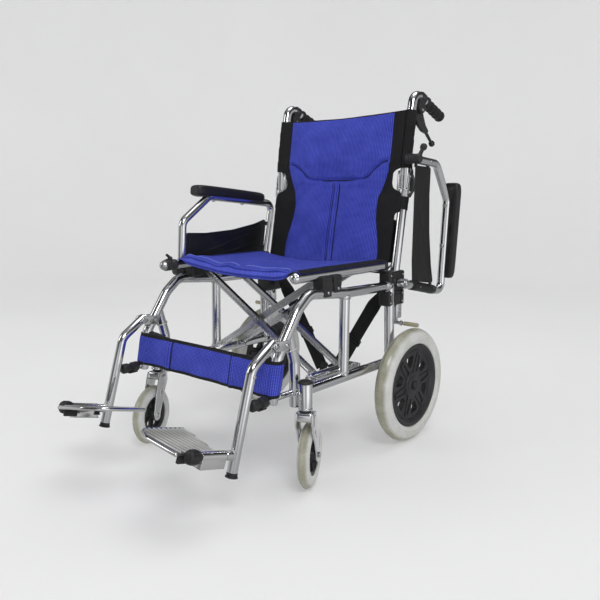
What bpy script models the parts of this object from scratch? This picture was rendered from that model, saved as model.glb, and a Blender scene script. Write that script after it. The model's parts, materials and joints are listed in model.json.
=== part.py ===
"""Transport wheelchair with a folding cross brace.

Metres, +Z up, the chair faces -Y and +X is the sitter's left.  Heights are
measured from the floor and y from the rear axle line; place() then moves the
chair by AXLE_Y, so that its length lies about the origin.  x values are given
for the left side and multiplied by the sign of the side being built.  A pair
of numbers is (y, z) unless a comment says otherwise.
"""
import math

import bmesh
import bpy
from mathutils import Matrix, Vector

# --------------------------------------------------------- shared dimensions
AXLE_Y = 0.2550            # world y of the rear axle
TUBE_R = 0.0125            # 25 mm frame tube
UPPER_POST_R = TUBE_R - 0.0004
REAR_UPRIGHT_R = TUBE_R + 0.0002
THIN_R = 0.011             # 22 mm armrest and legrest tube
PIN_R = 0.004
PIN_BORE_R = 0.0045
CLEAR = 0.0003             # gap between neighbouring pieces

FRAME_X = 0.222            # side frame plane
RAIL_X = 0.215             # seat rail and back post plane
ARM_X = 0.2475             # armrest plane
LOWER_Z = 0.216            # lower side frame tube

REAR_R = 0.150             # rear wheel
REAR_HUB = (0.0, REAR_R)
CASTOR_X = 0.256           # castor stem
CASTOR_Y = -0.424

CROSS_X = 0.190            # lower pivots of the cross brace
CROSS_Z = 0.225
CROSS_LEN = 0.472          # lower pivot to seat rail
CROSS_ANGLE = math.radians(30.9)
CROSS_MID_Y = -0.250
CROSS_Y = (CROSS_MID_Y - 0.050, CROSS_MID_Y + 0.050)   # front and rear crossing
CROSS_ROD_R = 0.005
RAIL_Z = CROSS_Z + CROSS_LEN * math.sin(CROSS_ANGLE)
PIVOT_Z = CROSS_Z + CROSS_X * math.tan(CROSS_ANGLE)    # where the bars cross

ARM_PIVOT = (-0.026, 0.420)
BACK_PIVOT = (0.047, 0.668)
HANGER_PIVOT = (-0.492, 0.337)
SHOE_SPOT = (-0.015, 0.314)    # brake bar above the rear tyre

SIGNS = {"left": 1.0, "right": -1.0}

# name: (base colour, roughness, metallic)
LOOKS = {
    "chrome": ((0.80, 0.81, 0.82), 0.14, 1.0),
    "aluminium": ((0.66, 0.67, 0.68), 0.32, 1.0),
    "steel": ((0.60, 0.61, 0.62), 0.30, 1.0),
    "black": ((0.018, 0.018, 0.020), 0.45, 0.0),
    "pad": ((0.014, 0.014, 0.015), 0.38, 0.0),
    "tyre": ((0.56, 0.55, 0.49), 0.55, 0.0),
    "rim": ((0.022, 0.022, 0.025), 0.40, 0.0),
    "blue": ((0.020, 0.045, 0.42), 0.80, 0.0),
    "nylon": ((0.012, 0.012, 0.013), 0.85, 0.0),
}
SHARP_ANGLE = math.radians(35)
STRAIGHT_DEG = 176         # a path corner flatter than this is left as it is

# --------------------------------------------------------------------- scene
for old in list(bpy.data.objects):
    bpy.data.objects.remove(old, do_unlink=True)
CHAIR = bpy.data.collections.new("transport_wheelchair")
bpy.context.scene.collection.children.link(CHAIR)


# ------------------------------------------------------------- mesh handling
def place(x, y, z):
    """World position of a point given from the rear axle line."""
    return Vector((x, y + AXLE_Y, z))


def link_object(data):
    ob = bpy.data.objects.new("part", data)
    CHAIR.objects.link(ob)
    return ob


def from_bmesh(bm):
    mesh = bpy.data.meshes.new("part")
    bm.to_mesh(mesh)
    bm.free()
    return link_object(mesh)


def evaluated_mesh(ob):
    bpy.context.view_layer.update()
    graph = bpy.context.evaluated_depsgraph_get()
    return bpy.data.meshes.new_from_object(ob.evaluated_get(graph))


def weld(mesh):
    bm = bmesh.new()
    bm.from_mesh(mesh)
    bmesh.ops.remove_doubles(bm, verts=bm.verts, dist=0.00001)
    bmesh.ops.recalc_face_normals(bm, faces=bm.faces)
    bm.to_mesh(mesh)
    bm.free()


def curve_solid(curve, matrix=Matrix()):
    """A closed mesh object made from curve data."""
    ob = link_object(curve)
    mesh = evaluated_mesh(ob)
    bpy.data.objects.remove(ob, do_unlink=True)
    weld(mesh)
    mesh.transform(matrix)
    return link_object(mesh)


def combine(target, others, operation):
    """Apply the other objects to the target one by one and remove them."""
    for other in others:
        mod = target.modifiers.new("bool", "BOOLEAN")
        mod.operation = operation
        mod.solver = "EXACT"
        mod.object = other
        mesh = evaluated_mesh(target)
        target.modifiers.clear()
        target.data = mesh
        bpy.data.objects.remove(other, do_unlink=True)
        weld(mesh)


def union(target, *others):
    combine(target, others, "UNION")


def cut(target, *others):
    combine(target, others, "DIFFERENCE")


def finish(ob, name, look, origin, smooth=True):
    """Name, material, shading, and the object's origin on its joint."""
    ob.name = name
    ob.data.name = name
    colour, roughness, metallic = LOOKS[look]
    material = bpy.data.materials.new(name + "_" + look)
    material.use_nodes = True
    shader = material.node_tree.nodes["Principled BSDF"]
    shader.inputs["Base Color"].default_value = (*colour, 1.0)
    shader.inputs["Roughness"].default_value = roughness
    shader.inputs["Metallic"].default_value = metallic
    ob.data.materials.clear()
    ob.data.materials.append(material)
    ob.data.transform(Matrix.Translation(-origin))
    ob.location = origin
    if smooth:
        ob.data.shade_smooth()
        ob.data.set_sharp_from_angle(angle=SHARP_ANGLE)


# ------------------------------------------------------------ general shapes
def rounded(points, radius, steps):
    """Replace each inner corner of a path by an arc; radius may be a list."""
    points = [Vector(point) for point in points]
    path = [points[0]]
    for i in range(1, len(points) - 1):
        corner = points[i]
        before, after = points[i - 1] - corner, points[i + 1] - corner
        angle = before.angle(after)
        if math.degrees(angle) > STRAIGHT_DEG:
            path.append(corner)
            continue
        wanted = radius[i - 1] if isinstance(radius, list) else radius
        back = min(wanted / math.tan(angle / 2), 0.49 * min(before.length, after.length))
        before.normalize()
        after.normalize()
        to_centre = back * math.tan(angle / 2) / math.sin(angle / 2)
        centre = corner + (before + after).normalized() * to_centre
        start = corner + before * back - centre
        end = corner + after * back - centre
        sweep = start.angle(end)
        axis = start.cross(end).normalized()
        for k in range(steps + 1):
            path.append(centre + Matrix.Rotation(sweep * k / steps, 3, axis) @ start)
    path.append(points[-1])
    return path


def soft_outline(points, radius, steps=2):
    """A closed outline with rounded corners."""
    count = len(points)
    outline = []
    for i in range(count):
        corner = [(*points[(i + k) % count], 0) for k in (-1, 0, 1)]
        outline.extend((point.x, point.y) for point in rounded(corner, radius, steps)[1:-1])
    return outline


def arc(radius, start, end, steps):
    angles = [start + (end - start) * k / steps for k in range(steps + 1)]
    return [(radius * math.cos(angle), radius * math.sin(angle)) for angle in angles]


def circle(radius, count):
    return arc(radius, 0.0, 2 * math.pi, count)[:-1]


def add_polyline(curve, points, cyclic=False):
    spline = curve.splines.new("POLY")
    spline.points.add(len(points) - 1)
    for point, position in zip(spline.points, points):
        point.co = (*position, 1.0)
    spline.use_cyclic_u = cyclic


def tube(path, radius, bend=0.0, steps=3, bevel=3):
    """A round tube along a path, closed at both ends."""
    curve = bpy.data.curves.new("tube", "CURVE")
    curve.dimensions = "3D"
    curve.bevel_depth = radius
    curve.bevel_resolution = bevel
    curve.use_fill_caps = True
    add_polyline(curve, rounded(path, bend, steps) if bend else path)
    return curve_solid(curve)


def plate(loops, thickness, matrix):
    """A flat outline with its holes, extruded to a thickness."""
    curve = bpy.data.curves.new("plate", "CURVE")
    curve.dimensions = "2D"
    curve.fill_mode = "BOTH"
    curve.extrude = thickness / 2
    for loop in loops:
        add_polyline(curve, [(*point, 0.0) for point in loop], cyclic=True)
    return curve_solid(curve, matrix)


def turn_z_to(direction):
    turn = Vector((0, 0, 1)).rotation_difference(Vector(direction).normalized())
    return turn.to_matrix().to_4x4()


def cylinder(start, end, radius, segments=12):
    axis = end - start
    bm = bmesh.new()
    bmesh.ops.create_cone(
        bm, cap_ends=True, segments=segments, radius1=radius, radius2=radius,
        depth=axis.length, matrix=Matrix.Translation((start + end) / 2) @ turn_z_to(axis))
    return from_bmesh(bm)


def ball(centre, radius):
    bm = bmesh.new()
    bmesh.ops.create_uvsphere(bm, u_segments=10, v_segments=6, radius=radius,
                              matrix=Matrix.Translation(centre))
    return from_bmesh(bm)


def block(corner, opposite, edge=0.0, matrix=Matrix(), segments=1):
    """A box between two opposite corners, given in any order."""
    corner, opposite = Vector(corner), Vector(opposite)
    size = opposite - corner
    bm = bmesh.new()
    bmesh.ops.create_cube(
        bm, size=1.0, matrix=Matrix.Translation((corner + opposite) / 2)
        @ Matrix.Diagonal((abs(size.x), abs(size.y), abs(size.z), 1.0)))
    if edge:
        bmesh.ops.bevel(bm, geom=bm.edges[:], offset=edge, segments=segments,
                        profile=0.5, affect="EDGES")
    bmesh.ops.transform(bm, matrix=matrix, verts=bm.verts)
    return from_bmesh(bm)


def turned(profile, start, direction, steps, closed=True):
    """Spin a (radius, distance along the axis) profile about an axis."""
    bm = bmesh.new()
    verts = [bm.verts.new((radius, 0.0, along)) for radius, along in profile]
    for first, second in zip(verts, verts[1:]):
        bm.edges.new((first, second))
    if closed:
        bm.edges.new((verts[-1], verts[0]))
    ob = from_bmesh(bm)
    screw = ob.modifiers.new("turn", "SCREW")
    screw.axis = "Z"
    screw.steps = steps
    screw.use_merge_vertices = True
    screw.merge_threshold = 0.00005
    mesh = evaluated_mesh(ob)
    ob.modifiers.clear()
    ob.data = mesh
    weld(mesh)
    mesh.transform(Matrix.Translation(start) @ turn_z_to(direction))
    return ob


def mirrored(half_profile):
    """Add the other half of a profile, from its last point back to its first."""
    back = [(radius, -along) for radius, along in reversed(half_profile) if along]
    return half_profile + back


# ------------------------------------------- shapes placed in the chair frame
# Turns the plane of a plate upright: outline (u, v) to (y, z), thickness to x.
UPRIGHT = Matrix(((0, 0, 1, 0), (1, 0, 0, 0), (0, 1, 0, 0), (0, 0, 0, 1)))


def side_tube(sign, x, path, radius, bend=0.0, steps=3, bevel=3):
    """A tube along a (y, z) path in an upright plane at x."""
    return tube([place(sign * x, y, z) for y, z in path], radius, bend, steps, bevel)


def side_plate(sign, x, outline, thickness):
    return plate([outline], thickness, Matrix.Translation(place(sign * x, 0, 0)) @ UPRIGHT)


def side_box(sign, x_span, y_span, z_span, edge=0.0):
    corners = [place(sign * x, y, z) for x, y, z in zip(x_span, y_span, z_span)]
    return block(*corners, edge)


def crosswise(sign, spot, x_start, x_end, radius, segments=12):
    """A cylinder along x through a (y, z) spot."""
    return cylinder(place(sign * x_start, *spot), place(sign * x_end, *spot), radius, segments)


def lengthwise(x, z, y_start, y_end, radius, segments=12):
    """A cylinder along y; x carries its own sign."""
    return cylinder(place(x, y_start, z), place(x, y_end, z), radius, segments)


def standing(sign, x, y, z_start, z_end, radius, segments=12):
    """A cylinder along z."""
    return cylinder(place(sign * x, y, z_start), place(sign * x, y, z_end), radius, segments)


# ---------------------------------------------------------------- side frame
FRAME_TOP = ((-0.0502, 0.414), (-0.240, 0.418), (-0.372, 0.430), (-0.412, 0.398),
             (-0.474, 0.309), (-0.492, 0.213))
FRAME_TOP_BEND = 0.04
MIDDLE_UPRIGHT = ((-0.240, 0.412), (-0.244, LOWER_Z))
LOWER_TUBE = ((-0.4205, LOWER_Z), (-0.0430, LOWER_Z))
REAR_UPRIGHT = ((-0.0505, 0.421), (-0.043, LOWER_Z), (-0.028, 0.176))
FRONT_UPRIGHT = ((-0.440, 0.354), (-0.421, 0.290), (-0.4185, 0.190))
UPRIGHT_BEND = 0.03
STRUT_Z = 0.222
STRUT = ((-0.418, STRUT_Z), (-0.516, STRUT_Z))
AXLE_PLATE = ((-0.056, 0.226), (-0.026, 0.222), (0.020, 0.158), (0.014, 0.134),
              (-0.014, 0.134), (-0.052, 0.190))
HANGER_EAR = ((-0.4335, 0.350), (-0.4700, 0.2990), (-0.5030, 0.3330), (-0.4880, 0.3500))
EAR_OFFSET = 0.0135        # ear middle from the frame plane
CROSS_LUG = (0.078, 0.086)     # y span from the middle of the cross brace


def build_side_frame(side, sign):
    frame = side_tube(sign, FRAME_X, FRAME_TOP, TUBE_R, FRAME_TOP_BEND)
    union(frame,
          side_tube(sign, FRAME_X, MIDDLE_UPRIGHT, TUBE_R - 0.0004),
          side_tube(sign, FRAME_X, LOWER_TUBE, TUBE_R - 0.0003),
          side_tube(sign, FRAME_X, REAR_UPRIGHT, REAR_UPRIGHT_R, UPRIGHT_BEND, 2),
          side_tube(sign, FRAME_X, FRONT_UPRIGHT, TUBE_R - 0.0002, UPRIGHT_BEND, 2),
          # strut to the front, with a thicker end
          side_tube(sign, FRAME_X, STRUT, radius=0.007, bevel=2),
          lengthwise(sign * FRAME_X, STRUT_Z, -0.510, -0.556, radius=0.012),
          # arm from the front upright to the castor housing
          cylinder(place(sign * FRAME_X, -0.4185, LOWER_Z),
                   place(sign * CASTOR_X, CASTOR_Y, LOWER_Z), 0.0095, 8),
          standing(sign, CASTOR_X, CASTOR_Y, 0.183, 0.248, 0.0135, 14),
          # rear axle plate and its boss
          side_plate(sign, FRAME_X, soft_outline(AXLE_PLATE, 0.010), thickness=0.008),
          crosswise(sign, REAR_HUB, 0.216, 0.2349, radius=0.012))
    ear = soft_outline(HANGER_EAR, 0.008)
    union(frame,
          side_plate(sign, FRAME_X - EAR_OFFSET, ear, thickness=0.003),
          side_plate(sign, FRAME_X + EAR_OFFSET, ear, thickness=0.003),
          crosswise(sign, HANGER_PIVOT, FRAME_X - 0.0175, FRAME_X + 0.0175, PIN_R, 10))
    for end in (-1, 1):
        lug_y = [CROSS_MID_Y + end * offset for offset in CROSS_LUG]
        union(frame, side_box(sign, (FRAME_X - 0.006, 0.183), lug_y, (0.2165, 0.2335)))
    union(frame, lengthwise(sign * CROSS_X, CROSS_Z, CROSS_MID_Y - 0.084,
                            CROSS_MID_Y + 0.084, CROSS_ROD_R, 10))
    # bore for the castor stem, closed at the top
    cut(frame, standing(sign, CASTOR_X, CASTOR_Y, 0.170, 0.241, radius=0.0065))
    finish(frame, f"side_frame_{side}", "chrome", place(sign * FRAME_X, 0.0, LOWER_Z))


def frame_clearance(sign):
    """The upper rear of the side frame, enlarged by the gap, for cutting."""
    top = ((-0.0500, 0.4140), *FRAME_TOP[1:4])
    upright = ((-0.05087, 0.4312), REAR_UPRIGHT[1])
    return [side_tube(sign, FRAME_X, top, TUBE_R + CLEAR, FRAME_TOP_BEND),
            side_tube(sign, FRAME_X, upright, REAR_UPRIGHT_R + CLEAR)]


# --------------------------------------------------------------------- back
BACK_POST = ((-0.0220, 0.402), (0.013, 0.594), (0.0262, 0.655))
CLAMP_GROOVE = ((-0.02206, 0.4017), BACK_POST[1])
HINGE_PIN = (0.0215, 0.636)    # fixed pin through the lower post
POST_BORE_X = (RAIL_X - 0.03, RAIL_X + 0.03)
HINGE_PIN_X = (RAIL_X - 0.0150, RAIL_X + 0.0150)
HINGE_PLATE = ((0.0080, 0.627), (0.0330, 0.624), (0.0580, 0.660), (0.0560, 0.679),
               (0.0380, 0.700), (0.0190, 0.700), (0.0150, 0.660))
HINGE_PLATE_T = 0.0022
HINGE_OFFSET = 0.0141      # hinge plate middle from the post plane
UPPER_POST = ((0.0275, 0.6605), (0.0305, 0.735), (0.0490, 0.855), (0.0640, 0.9135),
              (0.1500, 0.8810))
HANDLE_BEND = 0.035
GRIP_START = (0.1240, 0.8908)
GRIP_TOWARD = (0.2110, 0.8579)
# (radius, distance along the grip); the last points line the socket
GRIP_PROFILE = (
    (0.0, 0.0930), (0.0105, 0.0920), (0.0145, 0.0870), (0.0145, 0.0060), (0.0165, 0.0045),
    (0.0165, 0.0005), (0.0150, 0.0), (0.01242, 0.0), (0.01242, 0.0300), (0.0, 0.0300))


def build_back_post(side, sign):
    post = side_tube(sign, RAIL_X, BACK_POST, TUBE_R, bend=0.10, steps=2)
    cut(post, crosswise(sign, HINGE_PIN, *POST_BORE_X, PIN_BORE_R))
    finish(post, f"back_post_{side}", "chrome", place(sign * RAIL_X, *BACK_POST[0]))


def build_back_clamp(side, sign):
    clamp = side_box(sign, (0.2000, 0.2335), (-0.066, 0.006), (0.362, 0.451), edge=0.005)
    union(clamp,
          # socket block for the brake bar's stem
          side_box(sign, (0.2120, 0.2320), (-0.0265, -0.003), (0.326, 0.366), edge=0.002),
          # armrest pivot pin and its head
          crosswise(sign, ARM_PIVOT, 0.2300, 0.2600, PIN_R),
          crosswise(sign, ARM_PIVOT, 0.2590, 0.2625, 0.009, 16))
    cut(clamp, side_tube(sign, RAIL_X, CLAMP_GROOVE, TUBE_R + CLEAR), *frame_clearance(sign),
        standing(sign, FRAME_X, SHOE_SPOT[0], 0.320, 0.352, PIN_BORE_R))
    finish(clamp, f"back_clamp_{side}", "black", place(sign * 0.2335, *ARM_PIVOT))


def build_seat_saddle(side, sign):
    saddle = side_box(sign, (0.2035, 0.2360), (-0.356, -0.255), (0.412, 0.464), edge=0.003)
    cut(saddle,
        lengthwise(sign * RAIL_X, RAIL_Z, -0.42, -0.20, 0.0136, 16),    # seat rail groove
        # slot for the front cross bar
        side_box(sign, (0.1900, 0.2240), (-0.3135, -0.2865), (0.432, 0.480)),
        *frame_clearance(sign))
    finish(saddle, f"seat_saddle_{side}", "black", place(sign * FRAME_X, -0.30, 0.42))


def build_back_hinge(side, sign):
    outline = soft_outline(HINGE_PLATE, 0.006)
    hinge = side_plate(sign, RAIL_X - HINGE_OFFSET, outline, HINGE_PLATE_T)
    union(hinge,
          side_plate(sign, RAIL_X + HINGE_OFFSET, outline, HINGE_PLATE_T),
          crosswise(sign, BACK_PIVOT, *HINGE_PIN_X, PIN_R, 10),
          crosswise(sign, HINGE_PIN, *HINGE_PIN_X, PIN_R, 10))
    finish(hinge, f"back_hinge_{side}", "chrome", place(sign * RAIL_X, *BACK_PIVOT))


def build_upper_post(side, sign):
    post = side_tube(sign, RAIL_X, UPPER_POST, UPPER_POST_R, [0.10, 0.10, HANDLE_BEND])
    # pivot lug at the lower end
    union(post, side_box(sign, (RAIL_X - 0.011, RAIL_X + 0.011), (0.032, 0.056), (0.660, 0.689)))
    cut(post, crosswise(sign, BACK_PIVOT, *POST_BORE_X, PIN_BORE_R))
    finish(post, f"upper_post_{side}", "chrome", place(sign * RAIL_X, *BACK_PIVOT))


def build_handle_grip(side, sign):
    start = place(sign * RAIL_X, *GRIP_START)
    direction = place(sign * RAIL_X, *GRIP_TOWARD) - start
    grip = turned(GRIP_PROFILE, start, direction, steps=18, closed=False)
    finish(grip, f"handle_grip_{side}", "black", start)


# -------------------------------------------------------------------- brakes
BRAKE_MOUNT = (0.085, 0.8715)
BRAKE_PIVOT = (0.085, 0.8615)
BRAKE_LEVER_X = 0.2155
BRAKE_LEVER = ((0.0855, 0.8580), (0.0850, 0.8460), (0.1110, 0.8180), (0.1590, 0.7810))
RELEASE_PIVOT = (0.0475, 0.7060)
RELEASE_X = (0.2070, 0.2230)
RELEASE_EDGE = 0.0012


def build_brake_mount(side, sign):
    mount = crosswise(sign, BRAKE_MOUNT, 0.2020, 0.2285, 0.0165, 18)
    union(mount,
          # ring round the handle tube, and the neck below it
          cylinder(place(sign * RAIL_X, 0.0940, 0.9022), place(sign * RAIL_X, 0.1090, 0.8965),
                   0.0155, 14),
          side_box(sign, (0.1995, 0.2305), (0.0790, 0.1025), (0.8740, 0.9005)))
    cut(mount,
        side_tube(sign, RAIL_X, UPPER_POST[2:], UPPER_POST_R + CLEAR, HANDLE_BEND),
        side_box(sign, (0.2095, 0.2215), (0.0660, 0.1100), (0.8400, 0.8690)))   # lever slot
    union(mount, crosswise(sign, BRAKE_PIVOT, 0.2040, 0.2270, 0.0020, 10))
    finish(mount, f"brake_mount_{side}", "black", place(sign * RAIL_X, *BRAKE_MOUNT))


def build_brake_lever(side, sign):
    lever = crosswise(sign, BRAKE_PIVOT, 0.2105, 0.2205, 0.0060, 14)
    union(lever,
          side_tube(sign, BRAKE_LEVER_X, BRAKE_LEVER, radius=0.0045, bend=0.02, bevel=2),
          ball(place(sign * BRAKE_LEVER_X, *BRAKE_LEVER[-1]), radius=0.0085))
    cut(lever, crosswise(sign, BRAKE_PIVOT, 0.20, 0.23, 0.0023, 10))
    finish(lever, f"brake_lever_{side}", "black", place(sign * RAIL_X, *BRAKE_PIVOT))


def build_release_lever(side, sign):
    """Lever of the back hinge, behind the upper post."""
    lever = crosswise(sign, RELEASE_PIVOT, 0.2060, 0.2240, 0.0045)
    union(lever,
          side_box(sign, RELEASE_X, (0.0445, 0.0500), (0.7065, 0.7370), RELEASE_EDGE),
          side_box(sign, RELEASE_X, (0.0490, 0.0560), (0.6925, 0.7070), RELEASE_EDGE))
    finish(lever, f"release_lever_{side}", "black", place(sign * RAIL_X, *RELEASE_PIVOT))


def build_brake_shoe(side, sign):
    """Steel bar above the rear tyre, on a stem up into the back clamp."""
    shoe = crosswise(sign, SHOE_SPOT, 0.2070, 0.2885, 0.0055, 14)
    union(shoe, standing(sign, FRAME_X, *SHOE_SPOT, 0.346, PIN_R))
    finish(shoe, f"brake_shoe_{side}", "steel", place(sign * FRAME_X, *SHOE_SPOT))


# --------------------------------------------------------------- rear wheels
REAR_X = 0.259             # wheel middle plane
REAR_HALF_W = 0.041 / 2
RIM_R = 0.109
# (radius, distance from the middle plane), inner edge to the tread's middle
REAR_TYRE_HALF = [
    (RIM_R, REAR_HALF_W - 0.006), (RIM_R + 0.012, REAR_HALF_W), (REAR_R - 0.014, REAR_HALF_W),
    (REAR_R - 0.003, REAR_HALF_W - 0.009), (REAR_R, 0.0)]
SPOKES = 6
WINDOW_OUTER_R = 0.092
WINDOW_INNER_R = 0.034
WINDOW_MARGIN = math.radians(9)    # also the extra margin of the inner arc
REAR_AXLE_X = 0.2353       # inner end


def build_rear_tyre(side, sign):
    centre = place(sign * REAR_X, *REAR_HUB)
    tyre = turned(mirrored(REAR_TYRE_HALF), centre, (sign, 0, 0), steps=36)
    finish(tyre, f"rear_tyre_{side}", "tyre", centre)


def build_rear_rim(side, sign):
    """Disc with a centre bore and six windows between its spokes."""
    centre = place(sign * REAR_X, *REAR_HUB)
    loops = [circle(RIM_R - 0.0006, 36), circle(0.0065, 12)]
    for k in range(SPOKES):
        start = 2 * math.pi * k / SPOKES + WINDOW_MARGIN
        end = 2 * math.pi * (k + 1) / SPOKES - WINDOW_MARGIN
        loops.append(arc(WINDOW_OUTER_R, start, end, 4)
                     + arc(WINDOW_INNER_R, end - WINDOW_MARGIN, start + WINDOW_MARGIN, 2))
    rim = plate(loops, 0.028, Matrix.Translation(centre) @ UPRIGHT)
    finish(rim, f"rear_rim_{side}", "rim", centre)


def build_rear_axle(side, sign):
    axle = crosswise(sign, REAR_HUB, REAR_AXLE_X, 0.2760, 0.0060, 14)
    union(axle,
          crosswise(sign, REAR_HUB, 0.2745, 0.2830, 0.0120, 20),        # outer head
          crosswise(sign, REAR_HUB, REAR_AXLE_X, 0.2435, 0.0100, 16))   # inner flange
    finish(axle, f"rear_axle_{side}", "steel", place(sign * REAR_AXLE_X, *REAR_HUB))


# ------------------------------------------------------------------- castors
CASTOR_R = 0.076
CASTOR_HALF_W = 0.028 / 2
CASTOR_HUB_R = 0.047
CASTOR_TRAIL = 0.035       # wheel axle behind the stem when the castor is unturned
CASTOR_TURN = {"left": math.radians(25.0), "right": math.radians(198.5)}
FORK_TOP = 0.178
FORK_PLATE_X = 0.018       # fork plates from the wheel's middle plane
# (y from the stem, z)
FORK_PLATE = (
    (-0.013, FORK_TOP), (0.017, FORK_TOP), (0.032, 0.130), (0.047, 0.078), (0.043, 0.066),
    (0.035, 0.063), (0.027, 0.066), (0.023, 0.078), (0.002, 0.130), (-0.013, 0.158))
# (radius, distance from the middle plane), one half of each profile
CASTOR_TYRE_HALF = [
    (CASTOR_HUB_R, CASTOR_HALF_W - 0.002), (CASTOR_R - 0.010, CASTOR_HALF_W),
    (CASTOR_R - 0.002, CASTOR_HALF_W - 0.007), (CASTOR_R, 0.0)]
CASTOR_HUB_HALF = [
    (0.0045, 0.0155), (0.012, 0.0155), (0.014, 0.008), (CASTOR_HUB_R - 0.0006, 0.0095)]


def build_castor_fork(side, turn):
    def fork_plate(x):
        outline = soft_outline(FORK_PLATE, 0.004)
        return plate([outline], 0.003, turn @ Matrix.Translation((x, 0, 0)) @ UPRIGHT)

    def on_axle(x_start, x_end, radius):
        return cylinder(turn @ Vector((x_start, CASTOR_TRAIL, CASTOR_R)),
                        turn @ Vector((x_end, CASTOR_TRAIL, CASTOR_R)), radius)

    fork = fork_plate(FORK_PLATE_X)
    union(fork, fork_plate(-FORK_PLATE_X),
          block((-0.0190, -0.0125, 0.1610), (0.0190, 0.0165, 0.1775), matrix=turn),    # crown
          cylinder(turn @ Vector((0, 0, 0.170)), turn @ Vector((0, 0, 0.236)), 0.0060, 14),
          on_axle(-0.0215, 0.0215, PIN_R),
          on_axle(-0.0245, -0.0190, 0.0062),
          on_axle(0.0190, 0.0245, 0.0062))
    finish(fork, f"castor_fork_{side}", "chrome", turn @ Vector((0, 0, FORK_TOP)))


def build_castor(side, sign):
    turn = (Matrix.Translation(place(sign * CASTOR_X, CASTOR_Y, 0.0))
            @ Matrix.Rotation(CASTOR_TURN[side], 4, "Z"))
    build_castor_fork(side, turn)
    centre = turn @ Vector((0, CASTOR_TRAIL, CASTOR_R))
    axis = turn.to_3x3() @ Vector((1, 0, 0))
    tyre = turned(mirrored(CASTOR_TYRE_HALF), centre, axis, steps=28)
    finish(tyre, f"castor_tyre_{side}", "tyre", centre)
    hub = turned(mirrored(CASTOR_HUB_HALF), centre, axis, steps=24)
    finish(hub, f"castor_hub_{side}", "rim", centre)


# ------------------------------------------------------------------ legrests
HANGER = ((-0.4855, 0.3413), (-0.549, 0.300), (-0.611, 0.095))
FOOT_ORIGIN = (-0.600, 0.134)
FOOT_PITCH = math.radians(15.7)
FOOT_TILT = {"left": math.radians(6.0), "right": math.radians(10.5)}
FOOT_FORWARD = Vector((0, -math.cos(FOOT_PITCH), math.sin(FOOT_PITCH)))
FOOT_UP = Vector((0, math.sin(FOOT_PITCH), math.cos(FOOT_PITCH)))
# (inward, forward) from the foot of the hanger
FOOTPLATE = (
    (0.0080, 0.0360), (0.0300, 0.0340), (0.1560, 0.0060), (0.1570, 0.1180),
    (0.1080, 0.1400), (0.0160, 0.1400), (0.0160, 0.0960), (0.0080, 0.0940))


def foot_cylinder(sign, start, end, radius, segments=16):
    """A cylinder on the footplate's hinge line, by distances forward."""
    base = place(sign * FRAME_X, *FOOT_ORIGIN)
    return cylinder(base + FOOT_FORWARD * start, base + FOOT_FORWARD * end, radius, segments)


def build_legrest_hanger(side, sign):
    hanger = side_tube(sign, FRAME_X, HANGER, THIN_R, bend=0.030, steps=4)
    union(hanger,
          foot_cylinder(sign, 0.0, 0.1000, 0.0073, 14),     # hinge rod
          foot_cylinder(sign, 0.006, 0.0290, 0.0095),       # collar behind the plate
          foot_cylinder(sign, 0.0985, 0.1250, 0.0125))      # front cap
    cut(hanger, crosswise(sign, HANGER_PIVOT, 0.19, 0.25, PIN_BORE_R))
    finish(hanger, f"legrest_hanger_{side}", "chrome", place(sign * FRAME_X, *HANGER_PIVOT))


def build_footplate(side, sign):
    base = place(sign * FRAME_X, *FOOT_ORIGIN)
    tilt = FOOT_TILT[side]
    inward = Vector((-sign * math.cos(tilt), 0, 0)) + math.sin(tilt) * FOOT_UP
    normal = inward.cross(FOOT_FORWARD).normalized()
    axes = Matrix((inward, FOOT_FORWARD, normal)).transposed().to_4x4()
    foot = plate([soft_outline(FOOTPLATE, 0.006, 3)], 0.0070, Matrix.Translation(base) @ axes)
    union(foot, foot_cylinder(sign, 0.0320, 0.0955, 0.0110, 18))    # hinge barrel
    cut(foot,
        foot_cylinder(sign, 0.020, 0.0980, 0.0078),     # bore for the hinge rod
        foot_cylinder(sign, 0.0980, 0.1275, 0.0132))    # room for the front cap
    finish(foot, f"footplate_{side}", "aluminium", base + FOOT_FORWARD * 0.064)


# --------------------------------------------------------------- cross brace
BAR_T = 0.010
BAR_H = 0.016
BAR_SHIFT = 0.0055         # left rail's bars to the rear, right rail's to the front


def build_cross(side, sign):
    """Seat rail of one side with the two bars down to the opposite lower pivot."""
    low_x = -sign * CROSS_X
    seat_rail = ((-0.408, RAIL_Z), (-0.066, RAIL_Z))
    rail = side_tube(sign, RAIL_X, seat_rail, TUBE_R)
    union(rail, lengthwise(low_x, CROSS_Z, CROSS_MID_Y - 0.0765, CROSS_MID_Y + 0.0765, 0.011, 16))
    turn = Matrix.Rotation(-sign * CROSS_ANGLE, 4, "Y")
    for y in CROSS_Y:
        pivot = place(low_x, y + sign * BAR_SHIFT, CROSS_Z)
        union(rail, block((0.0, -BAR_T / 2, -BAR_H / 2), (sign * CROSS_LEN, BAR_T / 2, BAR_H / 2),
                          matrix=Matrix.Translation(pivot) @ turn))
    cut(rail,
        lengthwise(low_x, CROSS_Z, CROSS_MID_Y - 0.09, CROSS_MID_Y + 0.09, CROSS_ROD_R + 0.0005, 14),
        lengthwise(0, PIVOT_Z, CROSS_MID_Y - 0.08, CROSS_MID_Y + 0.08, 0.0036))   # bolt holes
    # the left part turns on its lower pivot, the right part on the crossing
    if side == "left":
        origin = place(low_x, CROSS_MID_Y, CROSS_Z)
    else:
        origin = place(0, CROSS_MID_Y, PIVOT_Z)
    finish(rail, f"seat_rail_{side}", "aluminium", origin)


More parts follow.
